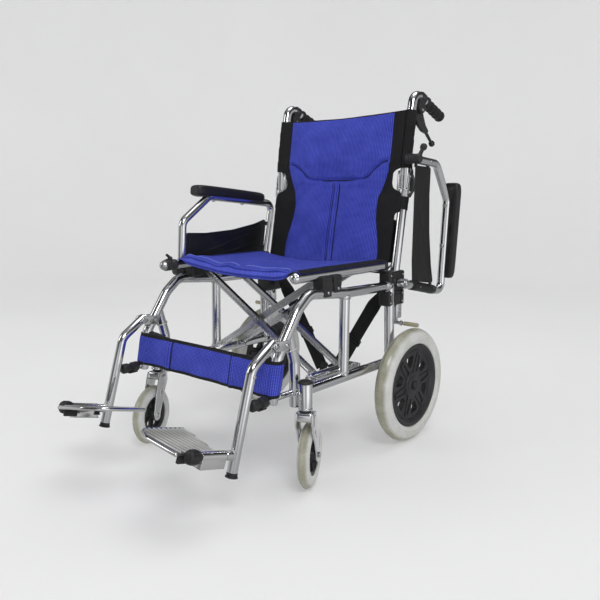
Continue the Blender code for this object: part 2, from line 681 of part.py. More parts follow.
def build_cross_bolt(name, y):
    bolt = lengthwise(0, PIVOT_Z, y - 0.0125, y + 0.0125, 0.0033)
    union(bolt, lengthwise(0, PIVOT_Z, y - 0.0150, y - 0.0110, 0.0070),
          lengthwise(0, PIVOT_Z, y + 0.0110, y + 0.0150, 0.0070))
    finish(bolt, name, "steel", place(0, y, PIVOT_Z))


# ------------------------------------------------------------------ armrests
ARM_TOP_FRONT = (-0.235, 0.641)
ARM_TOP_RUN = 0.249        # length over which the top tube drops
ARM_TOP_DROP = -0.022
ARM_TUBE = ((-0.339, 0.4563), (-0.331, 0.574), ARM_TOP_FRONT, (0.0160, 0.6188), ARM_PIVOT)
ARM_BENDS = [0.030, 0.030, 0.022]
PAD_X = 0.256
PAD_Y = -0.155
PAD_Z = (ARM_TOP_FRONT[1] + (PAD_Y - ARM_TOP_FRONT[0]) * ARM_TOP_DROP / ARM_TOP_RUN
         + 0.0115)         # raised above the tube's centre line
PAD_HALF = Vector((0.0225, 0.1335, 0.0145))
ARM_PANEL = (
    (-0.3220, 0.4430), (-0.3195, 0.5430), (-0.2500, 0.5410), (-0.1500, 0.5460),
    (-0.0600, 0.5600), (-0.0130, 0.5720), (-0.0370, 0.4520), (-0.0640, 0.4380))
LATCH = (-0.339, 0.4430)
LATCH_X = 0.2372           # inner end
LATCH_LEVER_X = 0.2660
LATCH_LEVER = (LATCH, (-0.357, 0.4250), (-0.364, 0.4120))


def armrest_tube(sign):
    arm = side_tube(sign, ARM_X, ARM_TUBE, THIN_R, ARM_BENDS)
    union(arm, crosswise(sign, ARM_PIVOT, 0.2370, 0.2582, 0.0130, 18))
    cut(arm, crosswise(sign, ARM_PIVOT, 0.22, 0.27, 0.0044))
    return arm


def armrest_pad(sign):
    slope = Matrix.Rotation(math.atan2(ARM_TOP_DROP, ARM_TOP_RUN), 4, "X")
    matrix = Matrix.Translation(place(sign * PAD_X, PAD_Y, PAD_Z)) @ slope
    pad = block(-PAD_HALF, PAD_HALF, edge=0.007, matrix=matrix, segments=2)
    cut(pad, side_tube(sign, ARM_X, ARM_TUBE, THIN_R + CLEAR, ARM_BENDS))
    return pad


def armrest_panel(sign):
    return side_plate(sign, ARM_X, soft_outline(ARM_PANEL, 0.006), thickness=0.003)


def armrest_latch(sign):
    latch = crosswise(sign, LATCH, LATCH_X, 0.2720, 0.0120, 18)
    union(latch,
          side_tube(sign, LATCH_LEVER_X, LATCH_LEVER, radius=0.0040, bend=0.006, bevel=2),
          ball(place(sign * LATCH_LEVER_X, -0.366, 0.4085), radius=0.0080))
    return latch


def build_armrest(side, sign):
    pivot = place(sign * ARM_X, *ARM_PIVOT)
    swing = Matrix.Identity(4)
    if side == "left":
        # this armrest stands swung up and back by a quarter turn
        swing = (Matrix.Translation(pivot) @ Matrix.Rotation(-math.pi / 2, 4, "X")
                 @ Matrix.Translation(-pivot))
    latch_origin = swing @ place(sign * LATCH_X, *LATCH)
    for name, shape, look, origin in (("tube", armrest_tube, "chrome", pivot),
                                      ("pad", armrest_pad, "pad", pivot),
                                      ("panel", armrest_panel, "nylon", pivot),
                                      ("latch", armrest_latch, "black", latch_origin)):
        ob = shape(sign)
        ob.data.transform(swing)
        finish(ob, f"armrest_{name}_{side}", look, origin)


# -------------------------------------------------------------------- fabric
CLOTH_T = 0.003
SEAT_DIP = math.radians(5.9)   # each half falls toward the middle
SEAT_LIFT = 0.010              # sheet middle above the rail's centre line
SEAT_Y = -0.2525
SEAT_HALF_LEN = 0.1775
BACK_LOWER_AXIS = (0.0, 0.5225)
CALF_AXIS = (-0.4835, 0.2650)
# name, tube plane x, sheet axis, lean to the rear, width to the far edge,
# (bottom, top) from the axis, origin
UPRIGHT_CLOTHS = (
    ("back_lower", RAIL_X, BACK_LOWER_AXIS, math.atan2(0.180, 0.984), 0.185,
     (-0.045, 0.096), BACK_LOWER_AXIS),
    ("back_upper", RAIL_X, (0.0405, 0.7850), math.radians(8.5), 0.176,
     (-0.070, 0.070), BACK_PIVOT),
    ("calf_strap", FRAME_X, CALF_AXIS, math.atan2(0.209, 0.978), 0.193,
     (-0.027, 0.029), CALF_AXIS),
)
CLOTH_NEAR = 0.0165            # near edge from the tube plane
BELT_TOP = (0.197, -0.012, 0.380)      # x, y, z
BELT_LEAN = math.atan2(0.191, 0.240)
BELT_HALF = (0.00125, 0.015)           # half thickness, half width
BELT_LEN = 0.3060


def build_seat(side, sign):
    """Seat half: a thin sheet from the seat rail toward the middle."""
    origin = place(sign * RAIL_X, SEAT_Y, RAIL_Z)
    matrix = Matrix.Translation(origin) @ Matrix.Rotation(-sign * SEAT_DIP, 4, "Y")
    seat = block((-sign * 0.016, -SEAT_HALF_LEN, SEAT_LIFT - CLOTH_T / 2),
                 (-sign * 0.182, SEAT_HALF_LEN, SEAT_LIFT + CLOTH_T / 2), matrix=matrix)
    finish(seat, f"seat_{side}", "blue", origin, smooth=False)


def build_upright_cloths(side, sign):
    """Halves of the two back sheets and of the calf strap."""
    for name, x, axis, lean, far, (bottom, top), origin in UPRIGHT_CLOTHS:
        matrix = (Matrix.Translation(place(sign * x, *axis))
                  @ Matrix.Rotation(-lean, 4, "X"))
        sheet = block((-sign * CLOTH_NEAR, -CLOTH_T / 2, bottom),
                      (-sign * far, CLOTH_T / 2, top), matrix=matrix)
        finish(sheet, f"{name}_{side}", "blue", place(sign * x, *origin), smooth=False)


def build_lap_belt(side, sign):
    """Lap belt half, slung under the seat toward the middle."""
    x, y, z = BELT_TOP
    top = place(sign * x, y, z)
    thick, wide = BELT_HALF
    belt = block((-thick, -wide, -BELT_LEN), (thick, wide, 0.0),
                 matrix=Matrix.Translation(top) @ Matrix.Rotation(sign * BELT_LEAN, 4, "Y"))
    finish(belt, f"lap_belt_{side}", "nylon", top, smooth=False)


BUILDERS = (
    build_side_frame,
    build_back_post, build_back_clamp, build_seat_saddle, build_back_hinge,
    build_upper_post, build_handle_grip,
    build_brake_mount, build_brake_lever, build_release_lever, build_brake_shoe,
    build_rear_tyre, build_rear_rim, build_rear_axle, build_castor,
    build_legrest_hanger, build_footplate, build_cross, build_armrest,
    build_seat, build_upright_cloths, build_lap_belt,
)
for side_name, side_sign in SIGNS.items():
    for build in BUILDERS:
        build(side_name, side_sign)
build_cross_bolt("cross_bolt_front", CROSS_Y[0])
build_cross_bolt("cross_bolt_rear", CROSS_Y[1])
bpy.context.view_layer.update()
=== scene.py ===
"""Looks of a folding transport wheelchair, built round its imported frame.

Metres, +Z up; the chair faces -Y and its left side is at +X.  Places are given
from the rear axle line (y) and the floor (z); the axle line is read from the
packed left rear tyre.  The left armrest is swung up, the right one is down.
"""
import json
import math

import bmesh
import bpy
import numpy as np
from mathutils import Matrix, Vector
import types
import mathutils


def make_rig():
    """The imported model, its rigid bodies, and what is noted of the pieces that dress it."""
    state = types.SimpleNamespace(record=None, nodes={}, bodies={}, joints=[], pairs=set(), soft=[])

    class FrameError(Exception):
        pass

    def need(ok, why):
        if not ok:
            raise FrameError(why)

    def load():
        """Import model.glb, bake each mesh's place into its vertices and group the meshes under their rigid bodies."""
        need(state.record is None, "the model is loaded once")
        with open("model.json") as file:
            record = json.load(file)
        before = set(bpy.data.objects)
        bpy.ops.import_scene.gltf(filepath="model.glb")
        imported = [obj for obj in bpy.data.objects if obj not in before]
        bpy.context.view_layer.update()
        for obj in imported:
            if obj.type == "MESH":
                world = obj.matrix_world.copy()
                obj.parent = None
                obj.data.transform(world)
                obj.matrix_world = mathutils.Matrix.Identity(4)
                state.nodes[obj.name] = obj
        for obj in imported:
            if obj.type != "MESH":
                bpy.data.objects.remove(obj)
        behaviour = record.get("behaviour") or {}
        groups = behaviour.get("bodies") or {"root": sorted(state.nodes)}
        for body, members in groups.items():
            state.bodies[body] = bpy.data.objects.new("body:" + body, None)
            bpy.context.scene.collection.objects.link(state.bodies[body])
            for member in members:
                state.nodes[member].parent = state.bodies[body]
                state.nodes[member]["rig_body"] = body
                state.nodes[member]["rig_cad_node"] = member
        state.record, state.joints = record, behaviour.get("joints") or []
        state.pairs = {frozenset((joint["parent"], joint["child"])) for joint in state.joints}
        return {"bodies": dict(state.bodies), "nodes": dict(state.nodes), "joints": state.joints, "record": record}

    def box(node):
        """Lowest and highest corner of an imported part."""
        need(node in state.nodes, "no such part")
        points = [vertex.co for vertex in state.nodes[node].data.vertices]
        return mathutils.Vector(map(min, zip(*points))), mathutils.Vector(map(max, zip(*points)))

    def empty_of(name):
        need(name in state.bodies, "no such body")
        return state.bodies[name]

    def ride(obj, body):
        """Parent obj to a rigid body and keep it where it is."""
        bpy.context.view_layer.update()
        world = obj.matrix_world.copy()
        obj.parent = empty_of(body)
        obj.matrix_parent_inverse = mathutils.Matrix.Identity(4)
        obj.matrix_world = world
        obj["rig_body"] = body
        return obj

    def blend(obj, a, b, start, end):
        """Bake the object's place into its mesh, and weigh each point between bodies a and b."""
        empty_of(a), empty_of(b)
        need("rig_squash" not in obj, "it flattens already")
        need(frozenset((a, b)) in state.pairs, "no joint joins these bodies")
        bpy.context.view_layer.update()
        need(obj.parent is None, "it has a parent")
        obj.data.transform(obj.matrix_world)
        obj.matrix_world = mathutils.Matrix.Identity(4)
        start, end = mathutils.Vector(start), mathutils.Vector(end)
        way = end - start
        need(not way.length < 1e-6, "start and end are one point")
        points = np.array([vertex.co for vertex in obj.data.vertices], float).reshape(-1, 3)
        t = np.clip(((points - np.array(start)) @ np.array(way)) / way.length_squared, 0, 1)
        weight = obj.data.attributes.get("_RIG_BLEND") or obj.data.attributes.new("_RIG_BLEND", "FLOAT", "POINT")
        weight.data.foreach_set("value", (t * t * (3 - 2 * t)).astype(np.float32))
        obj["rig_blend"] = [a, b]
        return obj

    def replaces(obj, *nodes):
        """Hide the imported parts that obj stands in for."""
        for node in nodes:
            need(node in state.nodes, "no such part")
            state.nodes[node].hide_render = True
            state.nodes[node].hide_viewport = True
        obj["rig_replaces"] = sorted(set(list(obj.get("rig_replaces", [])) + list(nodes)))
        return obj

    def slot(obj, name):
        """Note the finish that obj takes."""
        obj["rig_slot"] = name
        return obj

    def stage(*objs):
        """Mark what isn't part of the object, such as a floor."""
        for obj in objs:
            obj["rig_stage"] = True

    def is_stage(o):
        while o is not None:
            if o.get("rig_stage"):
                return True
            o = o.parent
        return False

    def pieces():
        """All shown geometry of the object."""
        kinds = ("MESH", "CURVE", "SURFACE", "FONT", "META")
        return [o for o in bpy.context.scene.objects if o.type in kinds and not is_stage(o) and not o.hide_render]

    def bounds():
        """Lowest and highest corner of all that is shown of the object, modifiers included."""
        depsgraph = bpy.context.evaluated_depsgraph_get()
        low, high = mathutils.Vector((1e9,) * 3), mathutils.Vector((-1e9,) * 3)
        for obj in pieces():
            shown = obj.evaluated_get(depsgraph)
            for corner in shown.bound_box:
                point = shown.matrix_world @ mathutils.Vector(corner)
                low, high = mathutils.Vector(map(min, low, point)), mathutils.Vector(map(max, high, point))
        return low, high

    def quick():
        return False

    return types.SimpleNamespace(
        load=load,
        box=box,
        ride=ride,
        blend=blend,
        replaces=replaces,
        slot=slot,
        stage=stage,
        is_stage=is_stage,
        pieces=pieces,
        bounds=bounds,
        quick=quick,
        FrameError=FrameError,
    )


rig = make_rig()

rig.load()
CAD_LOW, CAD_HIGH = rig.bounds()
TYRE_LOW, TYRE_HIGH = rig.box("rear_tyre_left")
AXLE_Y = (TYRE_LOW.y + TYRE_HIGH.y) / 2
REAR_R = (TYRE_HIGH.z - TYRE_LOW.z) / 2

# Tube radii, and distances of the tube planes from the centre plane
TUBE_R, THIN_R = 0.0125, 0.011
FRAME_X, RAIL_X, ARM_X = 0.222, 0.215, 0.2475
REAR_WHEEL_X = 0.259

CASTOR_X, CASTOR_Y = 0.256, -0.424      # castor stem
CASTOR_TRAIL, CASTOR_R, CASTOR_WIDTH = 0.035, 0.076, 0.028
CASTOR_TURN = {"left": 25.0, "right": 198.5}      # degrees about the stem

# Cross brace: low end, length and rise of its bars
CROSS_X, CROSS_Z, CROSS_LENGTH, CROSS_ANGLE = 0.190, 0.225, 0.472, math.radians(30.9)
CROSS_BAR_Y = (-0.300, -0.200)
RAIL_Z = CROSS_Z + CROSS_LENGTH * math.sin(CROSS_ANGLE)
CROSS_PIVOT_Z = CROSS_Z + CROSS_X * math.tan(CROSS_ANGLE)

# Pivots, as (y, z)
ARM_PIVOT, BACK_PIVOT, HANGER_PIVOT = (-0.026, 0.420), (0.047, 0.668), (-0.492, 0.337)

FOOT_ORIGIN, FOOT_PITCH = (-0.600, 0.134), math.radians(15.7)
FOOT_TILT = {"left": 6.0, "right": 10.5}          # degrees, inner edge up

# Top run of the armrest tube
ARM_FRONT_Y, ARM_FRONT_Z, ARM_REAR_Z, ARM_RUN = -0.235, 0.641, 0.619, 0.249


class Side:
    """One side of the chair; x counts outwards from the centre plane."""

    def __init__(self, name, sign):
        self.name, self.sign = name, sign
        self.out = Vector((sign, 0, 0))

    def at(self, x, y, z):
        return Vector((self.sign * x, y + AXLE_Y, z))

    def path(self, x, *points):
        """Points given as (y, z) in the upright plane at x."""
        return [self.at(x, y, z) for y, z in points]

    def plane(self, x):
        """Matrix that stands a flat outline of (y, z) in the plane at x."""
        return Matrix(((0, 0, 1, self.sign * x), (1, 0, 0, AXLE_Y), (0, 1, 0, 0), (0, 0, 0, 1)))


SIDES = (Side("left", 1.0), Side("right", -1.0))


# ------------------------------------------------------------------ materials
class Shader:
    """A node tree being built; an input takes either a socket or a plain value."""

    def __init__(self, tree):
        self.tree = tree

    def feed(self, socket, value):
        if isinstance(value, bpy.types.NodeSocket):
            self.tree.links.new(value, socket)
        else:
            socket.default_value = value

    def fill(self, node, **inputs):
        for name, value in inputs.items():
            self.feed(node.inputs[name.replace("_", " ")], value)

    def node(self, kind, settings=None, **inputs):
        made = self.tree.nodes.new("ShaderNode" + kind)
        for name, value in (settings or {}).items():
            setattr(made, name, value)
        self.fill(made, **inputs)
        return made

    def calc(self, operation, *values):
        made = self.node("Math", {"operation": operation})
        for socket, value in zip(made.inputs, values):
            self.feed(socket, value)
        return made.outputs[0]

    def add(self, first, second):
        return self.calc("ADD", first, second)

    def times(self, first, second):
        return self.calc("MULTIPLY", first, second)

    def ramp(self, source, stops):
        made = self.node("ValToRGB")
        elements = made.color_ramp.elements
        while len(elements) < len(stops):
            elements.new(0.5)
        for element, (position, colour) in zip(elements, stops):
            element.position = position
            element.color = (*colour, 1.0)
        self.fill(made, Fac=source)
        return made.outputs["Color"]

    def remap(self, source, span=(0.0, 1.0), to=(0.0, 1.0)):
        made = self.node("MapRange", From_Min=span[0], From_Max=span[1],
                         To_Min=to[0], To_Max=to[1], Value=source)
        return made.outputs["Result"]

    def noise(self, vector, scale, detail=3.0, rough=0.55):
        made = self.node("TexNoise", Scale=scale, Detail=detail, Roughness=rough, Vector=vector)
        return made.outputs["Fac"]

    def mix(self, factor, first, second, blend="MIX"):
        made = self.node("Mix", {"data_type": "RGBA", "blend_type": blend},
                         Factor=factor, A=first, B=second)
        return made.outputs["Result"]

    def split(self, vector):
        return self.node("SeparateXYZ", Vector=vector).outputs


class Surface(Shader):
    """A new material with its Principled shader."""

    def __init__(self, name):
        self.material = bpy.data.materials.new(name)
        self.material.use_nodes = True
        super().__init__(self.material.node_tree)
        self.principled = self.tree.nodes["Principled BSDF"]

    def paint(self, **inputs):
        self.fill(self.principled, **inputs)

    def place(self):
        return self.node("TexCoord").outputs["Object"]

    def cloth(self):
        return self.node("UVMap", {"uv_map": "cloth"}).outputs["UV"]

    def bump(self, height, distance, strength):
        made = self.node("Bump", Strength=strength, Distance=distance, Height=height)
        self.paint(Normal=made.outputs["Normal"])


def shade(colour, gain):
    return tuple(channel * gain for channel in colour)


def metal(name, base, rough, smear=0.10, tint=0.06, grain=0.00005, lines=None):
    """Metal with cloudy roughness; lines is the scale of an added drawn grain."""
    look = Surface(name)
    place = look.place()
    big = look.noise(place, scale=22.0, detail=4.0, rough=0.6)
    height = look.noise(place, scale=520.0, detail=2.0)
    look.paint(Metallic=1.0,
               Base_Color=look.ramp(big, [(0.30, shade(base, 1 - tint)), (0.70, base)]))
    fine = look.noise(place, scale=90.0, detail=5.0, rough=0.7)
    smudges = look.remap(fine, span=(0.35, 0.75), to=(max(rough - smear * 0.4, 0.03), rough + smear))
    clouds = look.remap(big, span=(0.4, 0.8), to=(0.0, smear * 0.5))
    look.paint(Roughness=look.add(smudges, clouds))
    if lines is not None:
        stretched = look.node("Mapping", Scale=lines, Vector=place).outputs["Vector"]
        drawn = look.times(look.noise(stretched, scale=1.0), 1.5)
        height = look.add(drawn, height)
    look.bump(height, distance=grain, strength=0.6)
    return look.material


def plastic(name, base, rough, grain=900.0, depth=0.00010, vary=0.35, coat=0.0, dust=0.0,
            spec=0.42, transmission=0.0):
    """Moulded plastic; dust lightens the outward edges."""
    look = Surface(name)
    place = look.place()
    big = look.noise(place, scale=30.0, detail=4.0, rough=0.6)
    fine = look.noise(place, scale=grain, detail=2.0)
    colour = look.ramp(big, [(0.30, shade(base, 1 - vary)), (0.72, shade(base, 1 + vary))])
    if dust:
        pointed = look.node("NewGeometry").outputs["Pointiness"]
        edge = look.remap(pointed, span=(0.52, 0.62))
        colour = look.mix(look.times(edge, dust), colour, (0.07, 0.07, 0.07, 1.0))
    look.paint(Base_Color=colour, Specular_IOR_Level=spec,
               Roughness=look.remap(big, span=(0.3, 0.7), to=(rough - 0.06, rough + 0.10)),
               Coat_Weight=coat, Coat_Roughness=0.25, Transmission_Weight=transmission)
    look.bump(fine, distance=depth, strength=0.7)
    return look.material


def leather(name, base, rough):
    look = Surface(name)
    place = look.place()
    grain = look.node("TexVoronoi", {"feature": "DISTANCE_TO_EDGE"}, Scale=620.0, Vector=place)
    big = look.noise(place, scale=26.0, detail=4.0)
    cells = look.remap(grain.outputs["Distance"], span=(0.0, 0.25))
    look.paint(Base_Color=look.ramp(cells, [(0.0, shade(base, 0.5)), (0.6, shade(base, 1.25))]),
               Roughness=look.remap(big, span=(0.3, 0.7), to=(rough - 0.05, rough + 0.12)))
    creases = look.times(look.noise(place, scale=300.0), 0.6)
    look.bump(look.add(cells, creases), distance=0.00016, strength=0.55)
    return look.material


def weave(name, dark, mid, light, pitch, rough=0.78, depth=0.0006, sheen=0.25,
          sheen_tint=(0.3, 0.4, 1.0), diagonal=True, spec=0.15):
    """Mesh cloth: small cells laid out on the cloth's own flat coordinates."""
    look = Surface(name)
    flat = look.cloth()
    parts = look.split(flat)
    across, along = parts["X"], parts["Y"]
    if diagonal:      # diamond cells, stretched lengthwise
        along = look.times(along, 1.45)
        first, second = look.add(across, along), look.calc("SUBTRACT", across, along)
        waves = math.pi * math.sqrt(2) / pitch
    else:
        first, second, waves = across, along, 2 * math.pi / pitch

    def sine(distance, rate):
        return look.calc("SINE", look.times(distance, rate))

    cells = look.times(sine(first, waves), sine(second, waves))
    # yarns 3.6 times finer than the cells
    yarns = [sine(across, waves * 3.6), sine(along, waves * 3.6)]
    cells = look.add(look.times(cells, 0.75), look.times(look.add(*yarns), 0.17))
    height = look.remap(cells, span=(-0.75, 0.75))
    big = look.noise(flat, scale=16.0, detail=4.0, rough=0.6)
    tiny = look.noise(flat, scale=2600.0, detail=2.0)
    # share of the cells, the clouds and the fibres in the colour
    tone = look.add(look.times(height, 0.72), look.times(big, 0.34))
    tone = look.add(tone, look.times(tiny, 0.10))
    look.paint(Base_Color=look.ramp(tone, [(0.16, dark), (0.55, mid), (0.98, light)]),
               Roughness=rough, Sheen_Weight=sheen, Sheen_Roughness=0.45,
               Sheen_Tint=(*sheen_tint, 1.0), Specular_IOR_Level=spec)
    look.bump(look.add(height, look.times(tiny, 0.35)), distance=depth, strength=0.8)
    return look.material


def tyre_look(name, half_width):
    """Cloudy polyurethane with dark specks: whitish flanks and a darker, more yellow tread, partly the material's own
    tone and partly painted light and shade.
    """
    look = Surface(name)
    place = look.place()
    across = look.calc("ABSOLUTE", look.split(look.cloth())["Y"])
    big = look.noise(place, scale=18.0, detail=4.0, rough=0.6)
    fine = look.noise(place, scale=420.0)
    speck = look.noise(place, scale=160.0, detail=6.0, rough=0.75)
    # painted light and shade: the flanks are painted lighter, the tread darker and more yellow
    flank = look.ramp(big, [(0.28, (0.54, 0.545, 0.51)), (0.50, (0.62, 0.625, 0.60)),
                            (0.75, (0.70, 0.71, 0.70))])
    tread = look.ramp(big, [(0.30, (0.27, 0.265, 0.190)), (0.55, (0.36, 0.355, 0.275)),
                            (0.75, (0.45, 0.445, 0.365))])
    # the border between tread and flank wanders with the clouds
    wander = look.times(look.calc("SUBTRACT", big, 0.5), half_width * 0.35)
    border = look.remap(look.add(across, wander), span=(half_width * 0.50, half_width * 0.86))
    colour = look.mix(border, tread, flank)
    specks = look.remap(speck, span=(0.58, 0.80), to=(0.0, 0.35))
    look.paint(Base_Color=look.mix(specks, colour, (0.27, 0.25, 0.19, 1.0)),
               Roughness=look.remap(fine, span=(0.3, 0.7), to=(0.20, 0.36)),
               Subsurface_Weight=0.12, Subsurface_Radius=(0.012, 0.011, 0.008),
               Subsurface_Scale=0.5, Coat_Weight=0.35, Coat_Roughness=0.12)
    look.bump(fine, distance=0.00008, strength=0.6)
    return look.material


BLACK_CLOTH = dict(sheen=0.02, sheen_tint=(0.8, 0.8, 1.0), spec=0.22)
MATERIALS = {
    "frame": metal("polished_aluminium", (0.80, 0.805, 0.815), rough=0.13, smear=0.09),
    "weld": metal("weld_bead", (0.80, 0.80, 0.79), rough=0.38, smear=0.16, tint=0.12, grain=0.0004),
    "brace": metal("satin_extrusion", (0.72, 0.725, 0.73), rough=0.27, smear=0.12, tint=0.08,
                   grain=0.00008, lines=(60.0, 900.0, 60.0)),
    "foot": metal("ribbed_aluminium", (0.25, 0.25, 0.245), rough=0.50, smear=0.08, tint=0.08,
                  grain=0.00003),
    "tread": metal("tread_rib", (0.84, 0.84, 0.82), rough=0.34, smear=0.08, grain=0.00002),
    "footlip": metal("bright_edge", (0.86, 0.86, 0.85), rough=0.12, smear=0.08),
    "chrome": metal("chrome", (0.88, 0.885, 0.89), rough=0.06, smear=0.06, tint=0.03,
                    grain=0.00002),
    "steel": metal("zinc_steel", (0.62, 0.625, 0.63), rough=0.26, smear=0.14, tint=0.12,
                   grain=0.00006),
    "black": plastic("black_plastic", (0.017, 0.017, 0.018), rough=0.40, dust=0.35),
    "gloss": plastic("black_glossy", (0.014, 0.014, 0.015), rough=0.26, grain=700.0,
                     depth=0.00004, coat=0.2, dust=0.25),
    "rubber": plastic("grip_rubber", (0.015, 0.015, 0.016), rough=0.55, grain=1100.0,
                      depth=0.00020, dust=0.3),
    "pad": leather("armrest_skin", (0.013, 0.013, 0.014), rough=0.36),
    "tyre": tyre_look("tyre_rear", half_width=0.0205),
    "tyre_small": tyre_look("tyre_castor", half_width=CASTOR_WIDTH / 2),
    "wheel": plastic("wheel_plastic", (0.026, 0.026, 0.028), rough=0.38, grain=800.0,
                     depth=0.00008, dust=0.3),
    "amber": plastic("brake_sleeve", (0.62, 0.58, 0.38), rough=0.22, grain=400.0, depth=0.00004,
                     vary=0.10, coat=0.3, transmission=0.45),
    "blue": weave("blue_spacer_mesh", (0.006, 0.010, 0.125), (0.036, 0.051, 0.380),
                  (0.125, 0.155, 0.78), pitch=0.0062, sheen=0.08),
    "nylon": weave("black_nylon", (0.003, 0.003, 0.003), (0.010, 0.010, 0.0105),
                   (0.025, 0.025, 0.026), pitch=0.0016, rough=0.66, depth=0.00025,
                   diagonal=False, **BLACK_CLOTH),
    "webbing": weave("black_webbing", (0.003, 0.003, 0.003), (0.012, 0.012, 0.012),
                     (0.030, 0.030, 0.032), pitch=0.0022, rough=0.60, depth=0.0004,
                     **BLACK_CLOTH),
    # painted highlight: lighter blue mesh for the tube along the crest of the seat's front lip
    "pipe": weave("seam_piping", (0.05, 0.07, 0.30), (0.13, 0.18, 0.62), (0.22, 0.28, 0.80),
                  pitch=0.0030, rough=0.55, depth=0.0002, sheen=0.15),
    # thread colour, for the stitches and for the dark tubes that lie in seam grooves as painted shade
    "thread": plastic("thread", (0.012, 0.012, 0.05), rough=0.7, grain=2500.0),
    "panel": plastic("side_panel", (0.009, 0.009, 0.0095), rough=0.36, grain=1500.0,
                     depth=0.00012, dust=0.15, spec=0.35),
}


# ------------------------------------------------------------------- geometry
def rounded(points, radius, steps=6):
    """The line with each corner replaced by an arc; radius is one value or one per corner."""
    points = [Vector(point) for point in points]
    line = [points[0]]
    for i in range(1, len(points) - 1):
        corner = points[i]
        back, ahead = points[i - 1] - corner, points[i + 1] - corner
        if back.length < 1e-7 or ahead.length < 1e-7:
            continue
        angle = back.angle(ahead)
        bend = radius[i - 1] if isinstance(radius, (list, tuple)) else radius
        if math.degrees(angle) > 176.5 or bend < 1e-6:
            line.append(corner)
            continue
        cut = min(bend / math.tan(angle / 2), 0.49 * min(back.length, ahead.length))
        bend = cut * math.tan(angle / 2)
        middle = (back.normalized() + ahead.normalized()).normalized()
        centre = corner + middle * (bend / math.sin(angle / 2))
        start = corner + back.normalized() * cut - centre
        end = corner + ahead.normalized() * cut - centre
        sweep = start.angle(end)
        axis = start.cross(end).normalized()
        for k in range(steps + 1):
            line.append(centre + Matrix.Rotation(sweep * k / steps, 3, axis) @ start)
    line.append(points[-1])
    return line


def soft_loop(points, radius, steps=5):
    """A closed flat outline with rounded corners."""
    count = len(points)
    outline = []
    for i in range(count):
        near = [Vector((*points[(i + k) % count], 0)) for k in (-1, 0, 1)]
        bend = radius[i] if isinstance(radius, (list, tuple)) else radius
        outline += [(p.x, p.y) for p in rounded(near, bend, steps)[1:-1]]
    return outline


def soft_box(left, low, right, high, radius):
    return soft_loop([(left, low), (right, low), (right, high), (left, high)], radius)


def circle(radius, count, across=0.0, up=0.0):
    turns = [2 * math.pi * k / count for k in range(count)]
    return [(across + radius * math.cos(turn), up + radius * math.sin(turn)) for turn in turns]


def mirrored(profile):
    """An outline run on to its mirror image in the second coordinate."""
    return profile + [(first, -second) for first, second in reversed(profile) if second]


def distances(points):
    """Distance along a line of points at each of them."""
    run = [0.0]
    for a, b in zip(points, points[1:]):
        run.append(run[-1] + (b - a).length)
    return run


def axis_turn(axis):
    """Rotation that takes +Z to the axis."""
    return Vector((0, 0, 1)).rotation_difference(Vector(axis).normalized()).to_matrix().to_4x4()


def from_axes(x_axis, y_axis, z_axis, origin):
    turn = Matrix((x_axis, y_axis, z_axis)).transposed().to_4x4()
    return Matrix.Translation(origin) @ turn


def skin(rings, closed=False, flip=False, caps=True):
    """Points and faces over a row of rings; a ring of one point ends in a fan."""
    around = max(len(ring) for ring in rings)
    points, rows = [], []
    for ring in rings:
        rows.append(tuple(range(len(points), len(points) + len(ring))))
        points += ring
    faces = []
    for a, b in zip(rows, rows[1:] + rows[:1] if closed else rows[1:]):
        for k in range(around):
            after = (k + 1) % around
            if len(a) == 1:
                face = (a[0], b[k], b[after])
            elif len(b) == 1:
                face = (a[k], b[0], a[after])
            else:
                face = (a[k], b[k], b[after], a[after])
            faces.append((face[0], *face[:0:-1]) if flip else face)
    if caps and not closed:
        for row, reverse in ((rows[0], flip), (rows[-1], not flip)):
            if len(row) > 1:
                faces.append(row[::-1] if reverse else row)
    return points, faces


def register(made, side, slot, body=None, replaces=None):
    """Tell the frame what an object is made of, replaces and rides on."""
    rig.slot(made, slot)
    if replaces:
        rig.replaces(made, f"{replaces}_{side.name}")
    if body:
        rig.ride(made, f"{body}_{side.name}")


